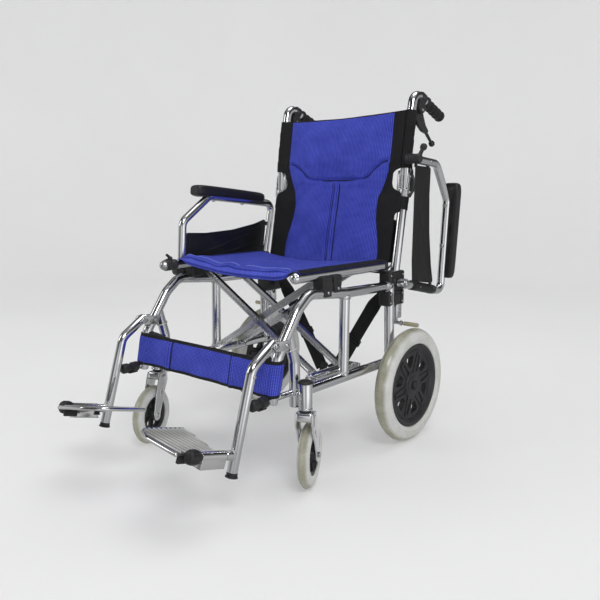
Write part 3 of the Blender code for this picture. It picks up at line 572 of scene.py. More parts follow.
class Piece:
    """Mesh data of one object; mat is a material key, a slot number or one per face."""

    def __init__(self, *materials):
        self.materials = materials
        self.verts, self.faces, self.slots, self.uvs = [], [], [], []

    def add(self, verts, faces, mat=0, uvs=None):
        first = len(self.verts)
        if isinstance(mat, str):
            mat = self.materials.index(mat)
        if uvs is None:
            uvs = [(p[0], p[2]) for p in verts]
        self.verts += [tuple(p) for p in verts]
        self.uvs += [tuple(p) for p in uvs]
        self.faces += [tuple(i + first for i in face) for face in faces]
        self.slots += [mat] * len(faces) if isinstance(mat, int) else list(mat)

    def tube(self, points, radius, sides=28, bend=0.0, steps=10, dome=0.10, oval=(1.0, 1.0),
             up=None, mat=0):
        """A bar along a line; radius may be a function of the part of the length run."""
        path = rounded(points, bend, steps) if bend else [Vector(p) for p in points]
        legs = [(b - a).normalized() for a, b in zip(path, path[1:])]
        tangents = [(a + b).normalized() for a, b in zip(legs[:1] + legs, legs + legs[-1:])]
        run = distances(path)
        across = tangents[0].orthogonal()
        stations = []
        for i, (point, tangent) in enumerate(zip(path, tangents)):
            if up is not None:
                across = Vector(up)
            elif i:
                across = tangents[i - 1].rotation_difference(tangent) @ across
            across = (across - tangent * across.dot(tangent)).normalized()
            size = radius(run[i] / max(run[-1], 1e-9)) if callable(radius) else radius
            stations.append((point, across, tangent.cross(across), size, run[i]))

        def domed(station, way):
            point, across, other, size, far = station
            turns = [math.pi / 2 * (1 - k / 4) for k in range(4)]
            return [(point + way * (size * dome * math.sin(turn)), across, other,
                     size * math.cos(turn), far) for turn in turns]

        if dome:
            head = domed(stations[0], -tangents[0])
            stations = head + stations + domed(stations[-1], tangents[-1])[::-1]
        rings, uvs = [], []
        for point, across, other, size, far in stations:
            if size < 1e-6:
                rings.append([point])
                uvs.append((0, far))
                continue
            turns = [2 * math.pi * k / sides for k in range(sides)]
            rings.append([point + across * math.cos(turn) * size * oval[0]
                          + other * math.sin(turn) * size * oval[1] for turn in turns])
            uvs += [(turn * size, far) for turn in turns]
        self.add(*skin(rings, flip=True), mat, uvs)

    def lathe(self, profile, origin, axis, steps=48, closed=False, mat=0):
        """A profile of (radius, distance along the axis) turned about the axis."""
        place = Matrix.Translation(origin) @ axis_turn(axis)
        rings, uvs = [], []
        for radius, along in profile:
            count = 1 if radius < 1e-7 else steps
            rings.append([place @ Vector((u, v, along)) for u, v in circle(radius, count)])
            uvs += [(radius, along)] * count
        self.add(*skin(rings, closed), mat, uvs)

    def take(self, bm, mat=0, matrix=None):
        """Add a bmesh and free it."""
        if matrix is not None:
            bmesh.ops.transform(bm, matrix=matrix, verts=bm.verts)
        bm.verts.ensure_lookup_table()
        bm.verts.index_update()
        verts = [vert.co.copy() for vert in bm.verts]
        faces = [tuple(vert.index for vert in face.verts) for face in bm.faces]
        bm.free()
        self.add(verts, faces, mat)

    def box(self, low, high, bevel, segments=3, matrix=None, mat=0):
        low, high = Vector(low), Vector(high)
        size = [abs(length) for length in high - low]
        bm = bmesh.new()
        bmesh.ops.create_cube(bm, size=1.0, matrix=Matrix.Translation((low + high) / 2)
                              @ Matrix.Diagonal((*size, 1.0)))
        bmesh.ops.bevel(bm, geom=bm.edges[:], offset=min(bevel, 0.45 * min(size)),
                        segments=segments, profile=0.5, affect="EDGES")
        self.take(bm, mat, matrix)

    def plate(self, loops, thickness, matrix, bevel=0.0006, res=2, mat=0):
        """Flat outline with holes, extruded, with rounded edges inside the outline."""
        curve = bpy.data.curves.new("plate", "CURVE")
        curve.dimensions = "2D"
        curve.fill_mode = "BOTH"
        curve.extrude = thickness / 2 - bevel
        curve.bevel_depth = bevel
        curve.bevel_resolution = res
        curve.offset = -bevel
        for loop in loops:
            spline = curve.splines.new("POLY")
            spline.points.add(len(loop) - 1)
            for point, (across, up) in zip(spline.points, loop):
                point.co = (across, up, 0.0, 1.0)
            spline.use_cyclic_u = True
        holder = bpy.data.objects.new("plate", curve)
        bpy.context.scene.collection.objects.link(holder)
        bpy.context.view_layer.update()
        depsgraph = bpy.context.evaluated_depsgraph_get()
        mesh = bpy.data.meshes.new_from_object(holder.evaluated_get(depsgraph))
        bm = bmesh.new()
        bm.from_mesh(mesh)
        bmesh.ops.remove_doubles(bm, verts=bm.verts, dist=0.00002)
        bmesh.ops.dissolve_degenerate(bm, edges=bm.edges, dist=0.00001)
        bpy.data.objects.remove(holder, do_unlink=True)
        bpy.data.curves.remove(curve)
        bpy.data.meshes.remove(mesh)
        self.take(bm, mat, matrix)

    def bolt(self, origin, axis, radius, height, kind="dome", socket=True, mat=0):
        """A screw or bolt head standing on a face."""
        axis = Vector(axis).normalized()
        if kind == "hex":
            middle = Matrix.Translation(Vector(origin) + axis * height / 2) @ axis_turn(axis)
            self.plate([circle(radius, 6)], height, middle, 0.0004, mat=mat)
            self.lathe([(0, height + 0.0012), (radius * 0.42, height + 0.001),
                        (radius * 0.5, height), (radius * 0.5, 0)], origin, axis, 20, mat=mat)
            return
        hole = radius * 0.42
        profile = [(radius * 0.98, 0.0), (radius, height * 0.25), (radius * 0.93, height * 0.55),
                   (radius * 0.75, height * 0.86), (hole * 1.05, height)]
        if socket:
            profile += [(hole, height * 0.96), (hole * 0.96, height * 0.35), (0, height * 0.30)]
        else:
            profile += [(0, height * 1.04)]
        self.lathe(profile[::-1], origin, axis, 24, mat=mat)

    def bead(self, centre, axis, radius, minor=0.0019):
        """A weld bead round a tube: a torus with small ripples."""
        place = Matrix.Translation(centre) @ axis_turn(axis)
        count, around = 56, 8
        rings = []
        for i in range(count):
            turn = 2 * math.pi * i / count
            thick = minor * (1.0 + 0.22 * math.sin(turn * 17))
            rings.append([place @ Vector(((radius + u) * math.cos(turn),
                                          (radius + u) * math.sin(turn), v))
                          for u, v in circle(thick, around)])
        self.add(*skin(rings, closed=True), "weld")

    def stitches(self, points, pitch=0.0042, size=0.0026, radius=0.00042):
        """Single threads laid along a line."""
        points = [Vector(p) for p in points]
        run = distances(points)
        count = max(int(run[-1] / pitch), 1)
        for i in range(count):
            ends = []
            for offset in (-size / 2, size / 2):
                far = min(max((i + 0.5) * run[-1] / count + offset, 0.0), run[-1])
                k = max(j for j in range(len(run)) if run[j] <= far + 1e-9)
                k = min(k, len(points) - 2)
                part = (far - run[k]) / max(run[k + 1] - run[k], 1e-9)
                ends.append(points[k].lerp(points[k + 1], part))
            self.tube(ends, radius, 6, dome=0.9)

    def ribbon(self, points, half_width, thick, width_at):
        """A flat strap; width_at gives its width direction for the part of the points passed."""
        profile = mirrored([(-half_width, -thick * 0.3), (-half_width + thick * 0.5, -thick / 2),
                            (half_width - thick * 0.5, -thick / 2), (half_width, -thick * 0.3)])
        last = len(points) - 1
        rings, uvs = [], []
        for i, (point, run) in enumerate(zip(points, distances(points))):
            tangent = (points[min(i + 1, last)] - points[max(i - 1, 0)]).normalized()
            wide = width_at(i / last)
            wide = (wide - tangent * wide.dot(tangent)).normalized()
            normal = tangent.cross(wide)
            rings.append([point + wide * u + normal * v for u, v in profile])
            uvs += [(u, run) for u, v in profile]
        self.add(*skin(rings, flip=True), 0, uvs)

    def move(self, matrix):
        self.verts = [tuple(matrix @ Vector(p)) for p in self.verts]

    def build(self, name, smooth=38.0, subdivide=0):
        """Make the object; edges sharper than smooth degrees stay sharp."""
        mesh = bpy.data.meshes.new(name)
        mesh.from_pydata(self.verts, [], self.faces)
        mesh.polygons.foreach_set("material_index", self.slots)
        for key in self.materials:
            mesh.materials.append(MATERIALS[key])
        layer = mesh.uv_layers.new(name="cloth")
        corners = np.empty(len(mesh.loops), np.int32)
        mesh.loops.foreach_get("vertex_index", corners)
        layer.data.foreach_set("uv", np.array(self.uvs, np.float32)[corners].ravel())
        bm = bmesh.new()
        bm.from_mesh(mesh)
        bmesh.ops.recalc_face_normals(bm, faces=bm.faces)
        bm.to_mesh(mesh)
        bm.free()
        mesh.shade_smooth()
        mesh.set_sharp_from_angle(angle=math.radians(smooth))
        mesh.validate()
        made = bpy.data.objects.new(name, mesh)
        bpy.context.scene.collection.objects.link(made)
        if subdivide:
            modifier = made.modifiers.new("subdivide", "SUBSURF")
            modifier.levels = subdivide
            modifier.render_levels = subdivide
        return made

    def done(self, side, name, slot, body=None, replaces=None, **look):
        """Build and register; every name but the slot gets the side's name."""
        made = self.build(f"{name}_{side.name}", **look)
        register(made, side, slot, body, replaces)
        return made


# ---------------------------------------------------------------- cloth pads
def smoothstep(low, high, x):
    part = np.clip((x - low) / (high - low), 0, 1)
    return part * part * (3 - 2 * part)


def grid(x, y, z):
    """Array of points from coordinates that broadcast together."""
    return np.stack(np.broadcast_arrays(x, y, z), -1)


def both_ways(columns):
    """Column values of the +X half, extended to the mirrored half."""
    return np.concatenate([columns[:0:-1], columns])


def half_of(side, cells):
    """The columns of one side; points share the centre column, cells don't."""
    count = cells.shape[1]
    return cells[:, count // 2:] if side.sign > 0 else cells[:, :(count + 1) // 2]


def line_distance(x, z, line):
    """Distance of grid points to a polyline in the same plane."""
    best = np.full(x.shape, 1e9)
    for (ax, az), (bx, bz) in zip(line, line[1:]):
        dx, dz = bx - ax, bz - az
        part = np.clip(((x - ax) * dx + (z - az) * dz) / (dx * dx + dz * dz), 0, 1)
        best = np.minimum(best, np.hypot(x - ax - part * dx, z - az - part * dz))
    return best


def wrinkle(x, z, seed, scale):
    """Smooth low noise from a few fixed waves."""
    rng = np.random.RandomState(seed)
    total = np.zeros_like(x)
    for k in range(7):
        turn = rng.uniform(0, math.pi)
        rate = rng.uniform(0.6, 2.0) / scale
        phase = rng.uniform(0, 6.28)
        wave = (x * math.cos(turn) + z * math.sin(turn)) * rate * 2 * math.pi
        total += np.sin(wave + phase) / (1 + 0.35 * k)
    return total / 3.2


def simulate(verts, faces, pinned, pressure, frames, cap, stiffness=18.0):
    """Blow a closed thin pad up with Cloth; pinned points stay.  Moves are held near cap."""
    base = np.array(verts, float)
    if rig.quick():
        return base
    mesh = bpy.data.meshes.new("sim")
    mesh.from_pydata([tuple(p) for p in base], [], faces)
    pad = bpy.data.objects.new("sim", mesh)
    bpy.context.scene.collection.objects.link(pad)
    group = pad.vertex_groups.new(name="pin")
    group.add([int(i) for i in np.nonzero(pinned)[0]], 1.0, "REPLACE")
    cloth = pad.modifiers.new("cloth", "CLOTH")
    settings = cloth.settings
    settings.quality = 5
    settings.mass = 0.25
    settings.tension_stiffness = stiffness
    settings.compression_stiffness = stiffness
    settings.shear_stiffness = stiffness * 0.4
    settings.bending_stiffness = 0.6
    settings.use_pressure = True
    settings.uniform_pressure_force = pressure
    settings.vertex_group_mass = "pin"
    settings.pin_stiffness = 1.0
    settings.shrink_min = 0.0
    settings.effector_weights.gravity = 0.0
    cloth.collision_settings.use_collision = False
    cloth.collision_settings.use_self_collision = False
    cloth.point_cache.frame_start = 1
    cloth.point_cache.frame_end = frames + 2
    scene = bpy.context.scene
    for frame in range(1, frames + 1):
        scene.frame_set(frame)
    blown = pad.evaluated_get(bpy.context.evaluated_depsgraph_get())
    points = np.empty(len(base) * 3, np.float32)
    blown.data.vertices.foreach_get("co", points)
    points = points.reshape(-1, 3).astype(float)
    bpy.data.objects.remove(pad, do_unlink=True)
    bpy.data.meshes.remove(mesh)
    scene.frame_set(1)
    step = points - base
    if not np.isfinite(step).all():
        return base
    far = np.linalg.norm(step, axis=1)
    held = cap * (1 + 0.35 * np.tanh((far - cap) / cap)) / np.maximum(far, 1e-9)
    return base + step * np.where(far > cap, held, 1.0)[:, None]


def sheet_pad(top, bottom):
    """Closed mesh of two matching grids: points, faces and the two grids of point numbers."""
    rows, columns = top.shape[:2]
    upper = np.arange(rows * columns).reshape(rows, columns)
    lower = upper + rows * columns
    faces = []
    for i in range(rows - 1):
        for j in range(columns - 1):
            faces.append((upper[i, j], upper[i, j + 1], upper[i + 1, j + 1], upper[i + 1, j]))
            faces.append((lower[i, j], lower[i + 1, j], lower[i + 1, j + 1], lower[i, j + 1]))
    rim = [(0, j) for j in range(columns)]
    rim += [(i, columns - 1) for i in range(1, rows)]
    rim += [(rows - 1, j) for j in range(columns - 2, -1, -1)]
    rim += [(i, 0) for i in range(rows - 2, 0, -1)]
    for a, b in zip(rim, rim[1:] + rim[:1]):
        faces.append((upper[a], lower[a], lower[b], upper[b]))
    points = np.concatenate([top.reshape(-1, 3), bottom.reshape(-1, 3)])
    return points, [tuple(int(i) for i in face) for face in faces], upper, lower


def inflate(top, bottom, pinned, **settings):
    """Simulate a pad of two grids and return the blown grids."""
    points, faces, upper, lower = sheet_pad(top, bottom)
    pins = np.zeros(len(points), bool)
    pins[upper[pinned]] = True
    pins[lower[pinned]] = True
    blown = simulate(points, faces, pins, **settings)
    return blown[upper], blown[lower]


def pad_object(side, name, materials, top, bottom, uv, top_slots, bottom_slots, rim_slot):
    """One side's pad from two grids, creased on the centre line; slots are one per cell."""
    points, faces, upper, lower = sheet_pad(top, bottom)
    slots = np.stack([top_slots, bottom_slots], -1).ravel().astype(int).tolist()
    slots += [rim_slot] * (len(faces) - len(slots))
    flat = uv.reshape(-1, 2)
    pad = Piece(*materials)
    pad.add(points, faces, slots, np.concatenate([flat, flat + 0.0005]))
    made = pad.build(f"{name}_{side.name}", smooth=50.0, subdivide=1)
    mesh = made.data
    crease = mesh.attributes.new("crease_edge", "FLOAT", "EDGE")
    column = 0 if side.sign > 0 else -1
    centre = {int(i) for i in (*upper[:, column], *lower[:, column])}
    values = np.zeros(len(mesh.edges), np.float32)
    for edge in mesh.edges:
        if centre.issuperset(edge.vertices):
            values[edge.index] = 1.0
            edge.use_edge_sharp = True
    crease.data.foreach_set("value", values)
    return made


# ------------------------------------------------------------------ side frame
# (y, z) points, radius, bend radius, steps per bend, end doming
FRAME_TUBES = (
    (((-0.0502, 0.414), (-0.24, 0.418), (-0.372, 0.43), (-0.412, 0.398), (-0.474, 0.309),
      (-0.492, 0.213)), TUBE_R, 0.04, 12, 0.35),
    (((-0.24, 0.412), (-0.244, 0.216)), TUBE_R - 0.0004, 0, 0, 0),
    (((-0.4205, 0.216), (-0.043, 0.216)), TUBE_R - 0.0003, 0, 0, 0),
    (((-0.0505, 0.421), (-0.043, 0.216), (-0.028, 0.176)), TUBE_R + 0.0002, 0.03, 8, 0.2),
    (((-0.44, 0.354), (-0.421, 0.29), (-0.4185, 0.19)), TUBE_R - 0.0002, 0.03, 8, 0.2),
)
# y, z, axis, radius
FRAME_BEADS = (
    (-0.2401, 0.4055, (0, 0, 1), 0.0122), (-0.2437, 0.229, (0, 0, 1), 0.0122),
    (-0.407, 0.216, (0, 1, 0), 0.0123), (-0.056, 0.216, (0, 1, 0), 0.0123),
    (-0.43, 0.319, (0, -0.30, 0.95), 0.0124), (-0.064, 0.4143, (0, 1, 0), 0.0126),
)
CASTOR_HOUSING = [
    (0, 0.0575), (0.0136, 0.0575), (0.0147, 0.057), (0.0152, 0.056), (0.0152, 0.004),
    (0.016, 0.003), (0.016, 0.0004), (0.015, 0), (0, 0)]
REAR_GUSSET = [(-0.056, 0.226), (-0.026, 0.222), (0.02, 0.158), (0.014, 0.134), (-0.014, 0.134),
               (-0.052, 0.19)]
HANGER_EAR = [(-0.442, 0.344), (-0.455, 0.3215), (-0.492, 0.3255), (-0.5015, 0.336),
              (-0.493, 0.347)]


def frame_tubes(side):
    at, path, out = side.at, side.path, side.out
    part = Piece("frame", "weld", "black", "steel")
    for points, radius, bend, steps, dome in FRAME_TUBES:
        part.tube(path(FRAME_X, *points), radius, 36, bend, steps, dome)
    # front strut and the stub out to the castor
    part.tube(path(FRAME_X, (-0.418, 0.222), (-0.516, 0.222)), 0.007, 20)
    part.tube([at(FRAME_X, -0.4185, 0.216), at(CASTOR_X, CASTOR_Y, 0.216)], 0.0095, 24, dome=0)
    part.lathe(CASTOR_HOUSING, at(CASTOR_X, CASTOR_Y, 0.191), (0, 0, 1), 40)
    part.plate([soft_loop(REAR_GUSSET, 0.01)], 0.008, side.plane(FRAME_X), 0.0012)
    part.lathe([(0, 0), (0.0115, 0), (0.012, 0.0005), (0.012, 0.0184), (0.0115, 0.0189),
                (0, 0.0189)], at(0.216, 0, REAR_R), out, 32)
    # hanger ears, their pin and bolts
    for offset in (-0.0135, 0.0135):
        part.plate([soft_loop(HANGER_EAR, 0.007)], 0.003, side.plane(FRAME_X + offset), 0.0008)
    part.tube([at(FRAME_X - 0.0175, *HANGER_PIVOT), at(FRAME_X + 0.0175, *HANGER_PIVOT)],
              0.004, 16, mat="steel")
    outer, inner = FRAME_X + 0.0149, FRAME_X - 0.0149
    part.bolt(at(outer, *HANGER_PIVOT), out, 0.0068, 0.0042, mat="steel")
    part.bolt(at(inner, *HANGER_PIVOT), -out, 0.0066, 0.0045, "hex", mat="steel")
    part.bolt(at(outer, -0.459, 0.333), out, 0.005, 0.003, mat="steel")
    part.bolt(at(inner, -0.459, 0.333), -out, 0.005, 0.003, "hex", mat="steel")
    # tabs and pin at the low end of the cross brace
    for rear in (-0.328, -0.164):
        part.box(at(FRAME_X - 0.006, rear - 0.008, 0.2165), at(0.183, rear, 0.2335), 0.0016)
    part.tube(path(CROSS_X, (-0.334, CROSS_Z), (-0.166, CROSS_Z)), 0.005, 20, mat="steel")
    part.bolt(at(CROSS_X, -0.336, CROSS_Z), (0, -1, 0), 0.007, 0.0046, "hex", mat="steel")
    part.bolt(at(CROSS_X, -0.164, CROSS_Z), (0, 1, 0), 0.007, 0.004, mat="steel")
    for y, z, axis, radius in FRAME_BEADS:
        part.bead(at(FRAME_X, y, z), axis, radius)
    part.bead(at(0.2395, -0.4215, 0.216), (side.sign, -0.1, 0), 0.0096, 0.0016)
    part.bead(at(FRAME_X, -0.431, 0.222), (0, 1, 0), 0.0072, 0.0014)
    part.done(side, "frame_tubes", "frame_aluminium", body="frame", replaces="side_frame")


def frame_plugs(side):
    at = side.at
    part = Piece("black")
    # castor housing cap
    part.lathe([(0, 0.0068), (0.008, 0.0064), (0.013, 0.0052), (0.016, 0.003), (0.0168, 0.0014),
                (0.0168, 0.0002), (0.0155, 0), (0, 0)],
               at(CASTOR_X, CASTOR_Y, 0.2486), (0, 0, 1), 40)
    # front bumper on the strut, with the flat block below it
    part.lathe([(0, 0.0465), (0.007, 0.0465), (0.0105, 0.0452), (0.0122, 0.0425), (0.0122, 0.03),
                (0.0098, 0.028), (0.0098, 0.02), (0.0122, 0.018), (0.0122, 0.003),
                (0.0108, 0.0004), (0, 0)], at(FRAME_X, -0.51, 0.222), (0, -1, 0), 32)
    part.box(at(FRAME_X - 0.0065, -0.538, 0.208), at(FRAME_X + 0.0065, -0.514, 0.2115), 0.0012)
    # plug at the rear end of the lower rail
    part.lathe([(0, 0), (0.0112, 0), (0.0122, 0.001), (0.0136, 0.0014), (0.0136, 0.01),
                (0.0122, 0.0108), (0, 0.0108)], at(FRAME_X, -0.048, 0.216), (0, 1, 0), 28)
    part.done(side, "frame_plugs", "black_plastic", body="frame")


# ------------------------------------------------------------ back posts, brakes
HINGE_CHEEK = [(0.014, 0.64), (0.03, 0.636), (0.053, 0.657), (0.0545, 0.676), (0.042, 0.699),
               (0.022, 0.702), (0.017, 0.664)]
HINGE_RIB = [(0.018, 0.645), (0.029, 0.642), (0.049, 0.66), (0.05, 0.675), (0.039, 0.694),
             (0.025, 0.697), (0.021, 0.665)]
HINGE_LOW = (0.025, 0.65)


def back_post(side):
    part = Piece("frame")
    part.tube(side.path(RAIL_X, (-0.022, 0.402), (0.013, 0.594), (0.0262, 0.655)), TUBE_R, 36,
              0.10, 8, 0.25)
    part.done(side, "back_post_tube", "frame_aluminium", body="frame", replaces="back_post")


def back_hinge(side):
    """Cast hinge: two cheeks, a barrel and their screws."""
    at = side.at
    part = Piece("brace", "steel")
    for way in (-1, 1):
        part.plate([soft_loop(HINGE_CHEEK, 0.006)], 0.0022,
                   side.plane(RAIL_X + way * 0.0141), 0.0005)
        part.plate([soft_loop(HINGE_RIB, 0.005)], 0.0016,
                   side.plane(RAIL_X + way * 0.0158), 0.0005)
        for place, radius, height in ((BACK_PIVOT, 0.0058, 0.004), (HINGE_LOW, 0.0046, 0.0036),
                                      ((0.029, 0.689), 0.0036, 0.0034)):
            part.bolt(at(RAIL_X + way * 0.0151, *place), side.out * way, radius, height,
                      mat="steel")
    for place, radius in ((BACK_PIVOT, 0.004), (HINGE_LOW, 0.0036)):
        part.tube([at(RAIL_X - 0.015, *place), at(RAIL_X + 0.015, *place)], radius, 20,
                  mat="steel")
    part.lathe([(0.0124, 0), (0.0146, 0), (0.0152, 0.0008), (0.0152, 0.019), (0.0144, 0.02),
                (0.0124, 0.02)], at(RAIL_X, 0.0222, 0.6375), (0, 0.21, 0.978), 44, closed=True)
    part.tube(side.path(RAIL_X - 0.0165, (0.024, 0.656), (0.03, 0.704)), 0.0062, dome=0.35)
    part.done(side, "back_hinge_casting", "chromed_steel", body="frame", replaces="back_hinge")


def post_clamp(side):
    """Two moulded shells with a waist, their screws, and a metal block below."""
    at, out = side.at, side.out
    part = Piece("black", "steel", "frame")
    for low, high in ((0.362, 0.402), (0.405, 0.451)):
        part.box(at(0.2, -0.066, low), at(0.2335, 0.006, high), 0.0048, 4)
    part.box(at(0.203, -0.0635, 0.366), at(0.231, 0.0035, 0.447), 0.003)
    for z in (0.371, 0.393, 0.415, 0.441):
        for y in (-0.0585, -0.0035):
            part.bolt(at(0.2335, y, z), out, 0.003, 0.0018, mat="steel")
    for z in (0.382, 0.428):
        part.plate([soft_box(-0.047, z - 0.011, -0.016, z + 0.011, 0.004)], 0.0024,
                   side.plane(0.234))
    for y in (-0.0525, -0.0105):
        for low, high in ((0.366, 0.398), (0.409, 0.447)):
            part.box(at(0.2325, y - 0.0012, low), at(0.235, y + 0.0012, high), 0.0008)
    part.box(at(0.212, -0.0265, 0.326), at(0.232, -0.003, 0.366), 0.0022, mat="frame")
    part.bolt(at(0.232, -0.015, 0.345), out, 0.0044, 0.0028, mat="steel")
    part.tube([at(0.23, *ARM_PIVOT), at(0.26, *ARM_PIVOT)], 0.004, 20, mat="steel")
    part.bolt(at(0.259, *ARM_PIVOT), out, 0.009, 0.0045, mat="steel")
    part.done(side, "post_clamp", "black_plastic", body="frame", replaces="back_clamp")


def seat_saddle(side):
    """Two moulded cups joined by a lower block, with a notch between them."""
    at = side.at
    part = Piece("black", "steel")
    for front, rear, low in ((-0.337, -0.3045, 0.418), (-0.299, -0.269, 0.425)):
        part.box(at(0.2035, front, low + 0.014), at(0.2365, rear, 0.4655), 0.0042, 4)
        part.box(at(0.211, front + 0.003, low), at(0.2372, rear - 0.003, low + 0.02), 0.0034)
        part.box(at(0.234, front + 0.006, low + 0.018), at(0.2378, rear - 0.006, 0.456), 0.0012)
        part.bolt(at(0.2372, (front + rear) / 2, low + 0.01), side.out, 0.0036, 0.002,
                  mat="steel")
    part.box(at(0.206, -0.31, 0.432), at(0.233, -0.295, 0.45), 0.003)
    part.done(side, "seat_saddle_cups", "black_plastic", body="frame", replaces="seat_saddle")


def rear_axle(side):
    at, out = side.at, side.out
    part = Piece("steel", "black")
    part.tube([at(0.2353, 0, REAR_R), at(0.276, 0, REAR_R)], 0.006)
    part.lathe([(0, 0), (0.0095, 0), (0.01, 0.0005), (0.01, 0.0078), (0.0095, 0.0082),
                (0, 0.0082)], at(0.2353, 0, REAR_R), out, 32)
    part.lathe([(0, 0.0086), (0.006, 0.0084), (0.0098, 0.0074), (0.0116, 0.0052),
                (0.012, 0.002), (0.012, 0), (0, 0)], at(0.2742, 0, REAR_R), out, 40,
               mat="black")
    part.done(side, "rear_axle_bolt", "plain_steel", body="frame", replaces="rear_axle")


def upper_post(side):
    part = Piece("frame", "brace")
    part.tube(side.path(RAIL_X, (0.0275, 0.6605), (0.0305, 0.735), (0.0485, 0.85),
                        (0.061, 0.905), (0.145, 0.8745)),
              TUBE_R - 0.0004, 36, [0.10, 0.10, 0.035], 14, 0.2)
    part.box(side.at(RAIL_X - 0.011, 0.032, 0.66), side.at(RAIL_X + 0.011, 0.056, 0.689), 0.003,
             mat="brace")
    part.done(side, "upper_post_tube", "frame_aluminium", body="back_upper",
              replaces="upper_post")


def hand_grip(side):
    """Grip with four finger waves, a flange at its front and fine ribs on its flanks."""
    start, end = side.path(RAIL_X, (0.117, 0.8847), (0.202, 0.8538))
    along = (end - start).normalized()
    profile = [(0, 0.0938), (0.006, 0.0935), (0.0105, 0.0922), (0.0135, 0.0895), (0.0145, 0.086)]
    for k in range(25):
        part_run = k / 24
        profile.append((0.014 + 0.0009 * math.cos(part_run * 8 * math.pi),
                        0.085 - 0.078 * part_run))
    profile += [(0.0152, 0.006), (0.0165, 0.0048), (0.0168, 0.0028), (0.0162, 0.0008),
                (0.015, 0), (0.0124, 0), (0, 0)]
    part = Piece("rubber")
    part.lathe(profile, start, along)
    across = Vector((1, 0, 0))
    half_rib = along.cross(across).normalized() * 0.0052
    for k in range(14):
        for way in (-1, 1):
            middle = start + along * (0.012 + k * 0.0052) + across * way * 0.01405
            part.tube([middle - half_rib, middle + half_rib], 0.0009, 8, dome=0.8)
    part.done(side, "hand_grip", "grip_rubber", body="back_upper", replaces="handle_grip")


def brake_housing(side):
    at, path = side.at, side.path
    inner, outer = 0.202, 0.2285
    part = Piece("black", "steel")
    part.lathe(mirrored([(0, -0.01325), (0.014, -0.01325), (0.016, -0.0118),
                         (0.0165, -0.0095)]),
               at((inner + outer) / 2, 0.085, 0.869), (1, 0, 0), 40)
    collar, ahead = path(RAIL_X, (0.089, 0.8949), (0.104, 0.8894))
    part.lathe([(0.0126, -0.0005), (0.015, -0.0005), (0.0162, 0.001), (0.0162, 0.015),
                (0.015, 0.0165), (0.0126, 0.0165)], collar, ahead - collar, 40, closed=True)
    part.box(at(0.201, 0.076, 0.87), at(0.229, 0.1005, 0.893), 0.005, 4)
    part.bolt(at(0.228, 0.085, 0.8615), side.out, 0.004, 0.0024, mat="steel")
    part.bolt(at(0.2025, 0.085, 0.8615), -side.out, 0.004, 0.0024, mat="steel")
    part.tube(path(RAIL_X, (0.07, 0.874), (0.06, 0.866), (0.052, 0.85)), 0.0036, 14, 0.01, 6,
              0.4)
    part.done(side, "brake_housing", "black_plastic", body="back_upper", replaces="brake_mount")


LEVER_X = 0.2155
LEVER_FIN = [(0.072, 0.864), (0.0985, 0.864), (0.1075, 0.845), (0.117, 0.827), (0.134, 0.812),
             (0.126, 0.803), (0.1, 0.809), (0.079, 0.823), (0.064, 0.842)]
LEVER_FIN_CORNERS = [0.006, 0.005, 0.03, 0.02, 0.004, 0.004, 0.02, 0.014, 0.01]


def brake_lever(side):
    """A flat blade that curves down and back to a ball."""
    at = side.at
    part = Piece("gloss")
    part.lathe(mirrored([(0, -0.005), (0.006, -0.005), (0.0066, -0.004)]),
               at(LEVER_X, 0.085, 0.8615), (1, 0, 0), 32)
    part.tube(side.path(RAIL_X, (0.0855, 0.86), (0.0835, 0.85), (0.087, 0.84), (0.111, 0.818),
                        (0.13, 0.804), (0.159, 0.781)),
              lambda run: 0.0058 - 0.0018 * run, 24, 0.02, 8, oval=(1.05, 0.78), up=(1, 0, 0))
    part.plate([soft_loop(LEVER_FIN, LEVER_FIN_CORNERS)], 0.009, side.plane(LEVER_X), 0.0026, 3)
    part.lathe(mirrored([(0, -0.0086), (0.004, -0.0078), (0.007, -0.0052), (0.0085, 0)]),
               at(RAIL_X, 0.159, 0.781), (0, 0.78, -0.62), 32)
    part.done(side, "brake_blade", "black_plastic", body="brake_hand", replaces="brake_lever")


def release_lever(side):
    """Ribbed lever behind the post."""
    pivot = side.at(RAIL_X, 0.0475, 0.706)
    part = Piece("black", "steel")
    part.lathe(mirrored([(0, -0.009), (0.004, -0.009), (0.0047, -0.008)]), pivot, (1, 0, 0), 28,
               mat="steel")
    place = Matrix.Translation(pivot)
    part.box((-0.008, -0.003, 0.0005), (0.008, 0.0025, 0.031), 0.002, matrix=place)
    for k in range(4):
        low = 0.014 + k * 0.0038
        part.box((-0.0065, 0.002, low), (0.0065, 0.0036, low + 0.002), 0.0006, matrix=place)
    part.box((-0.0078, 0.0015, -0.0135), (0.0078, 0.0085, 0.001), 0.002, matrix=place)
    part.done(side, "release_lever_blade", "black_plastic", body="back_release",
              replaces="release_lever")


def brake_pin(side):
    """Parking brake: a plated pin with a clear sleeve, a stem and its spring."""
    out = side.out
    y, z, stem_x = -0.015, 0.314, 0.222

    def at(x, up=0.0):
        return side.at(x, y, z + up)

    part = Piece("steel", "amber")
    part.tube([at(0.207), at(0.2885)], 0.0044, 24)
    part.lathe([(0, 0), (0.0048, 0), (0.0055, 0.0008), (0.0055, 0.0395), (0.005, 0.0405),
                (0, 0.041)], at(0.247), out, 32, mat="amber")
    part.tube([at(stem_x), at(stem_x, 0.032)], 0.004, 20)
    for coil in range(7):
        part.tube([at(stem_x, 0.0045 + 0.0032 * (coil + k / 16))
                   + Vector((0.005 * math.cos(math.pi * k / 8), 0.005 * math.sin(math.pi * k / 8),
                             0)) for k in range(17)], 0.0006, 6, dome=0)
    part.bolt(at(0.2085), -out, 0.0062, 0.003, "hex")
    part.bolt(at(0.236), out, 0.007, 0.005, "hex")
    part.done(side, "brake_pin", "plain_steel", body="brake", replaces="brake_shoe")


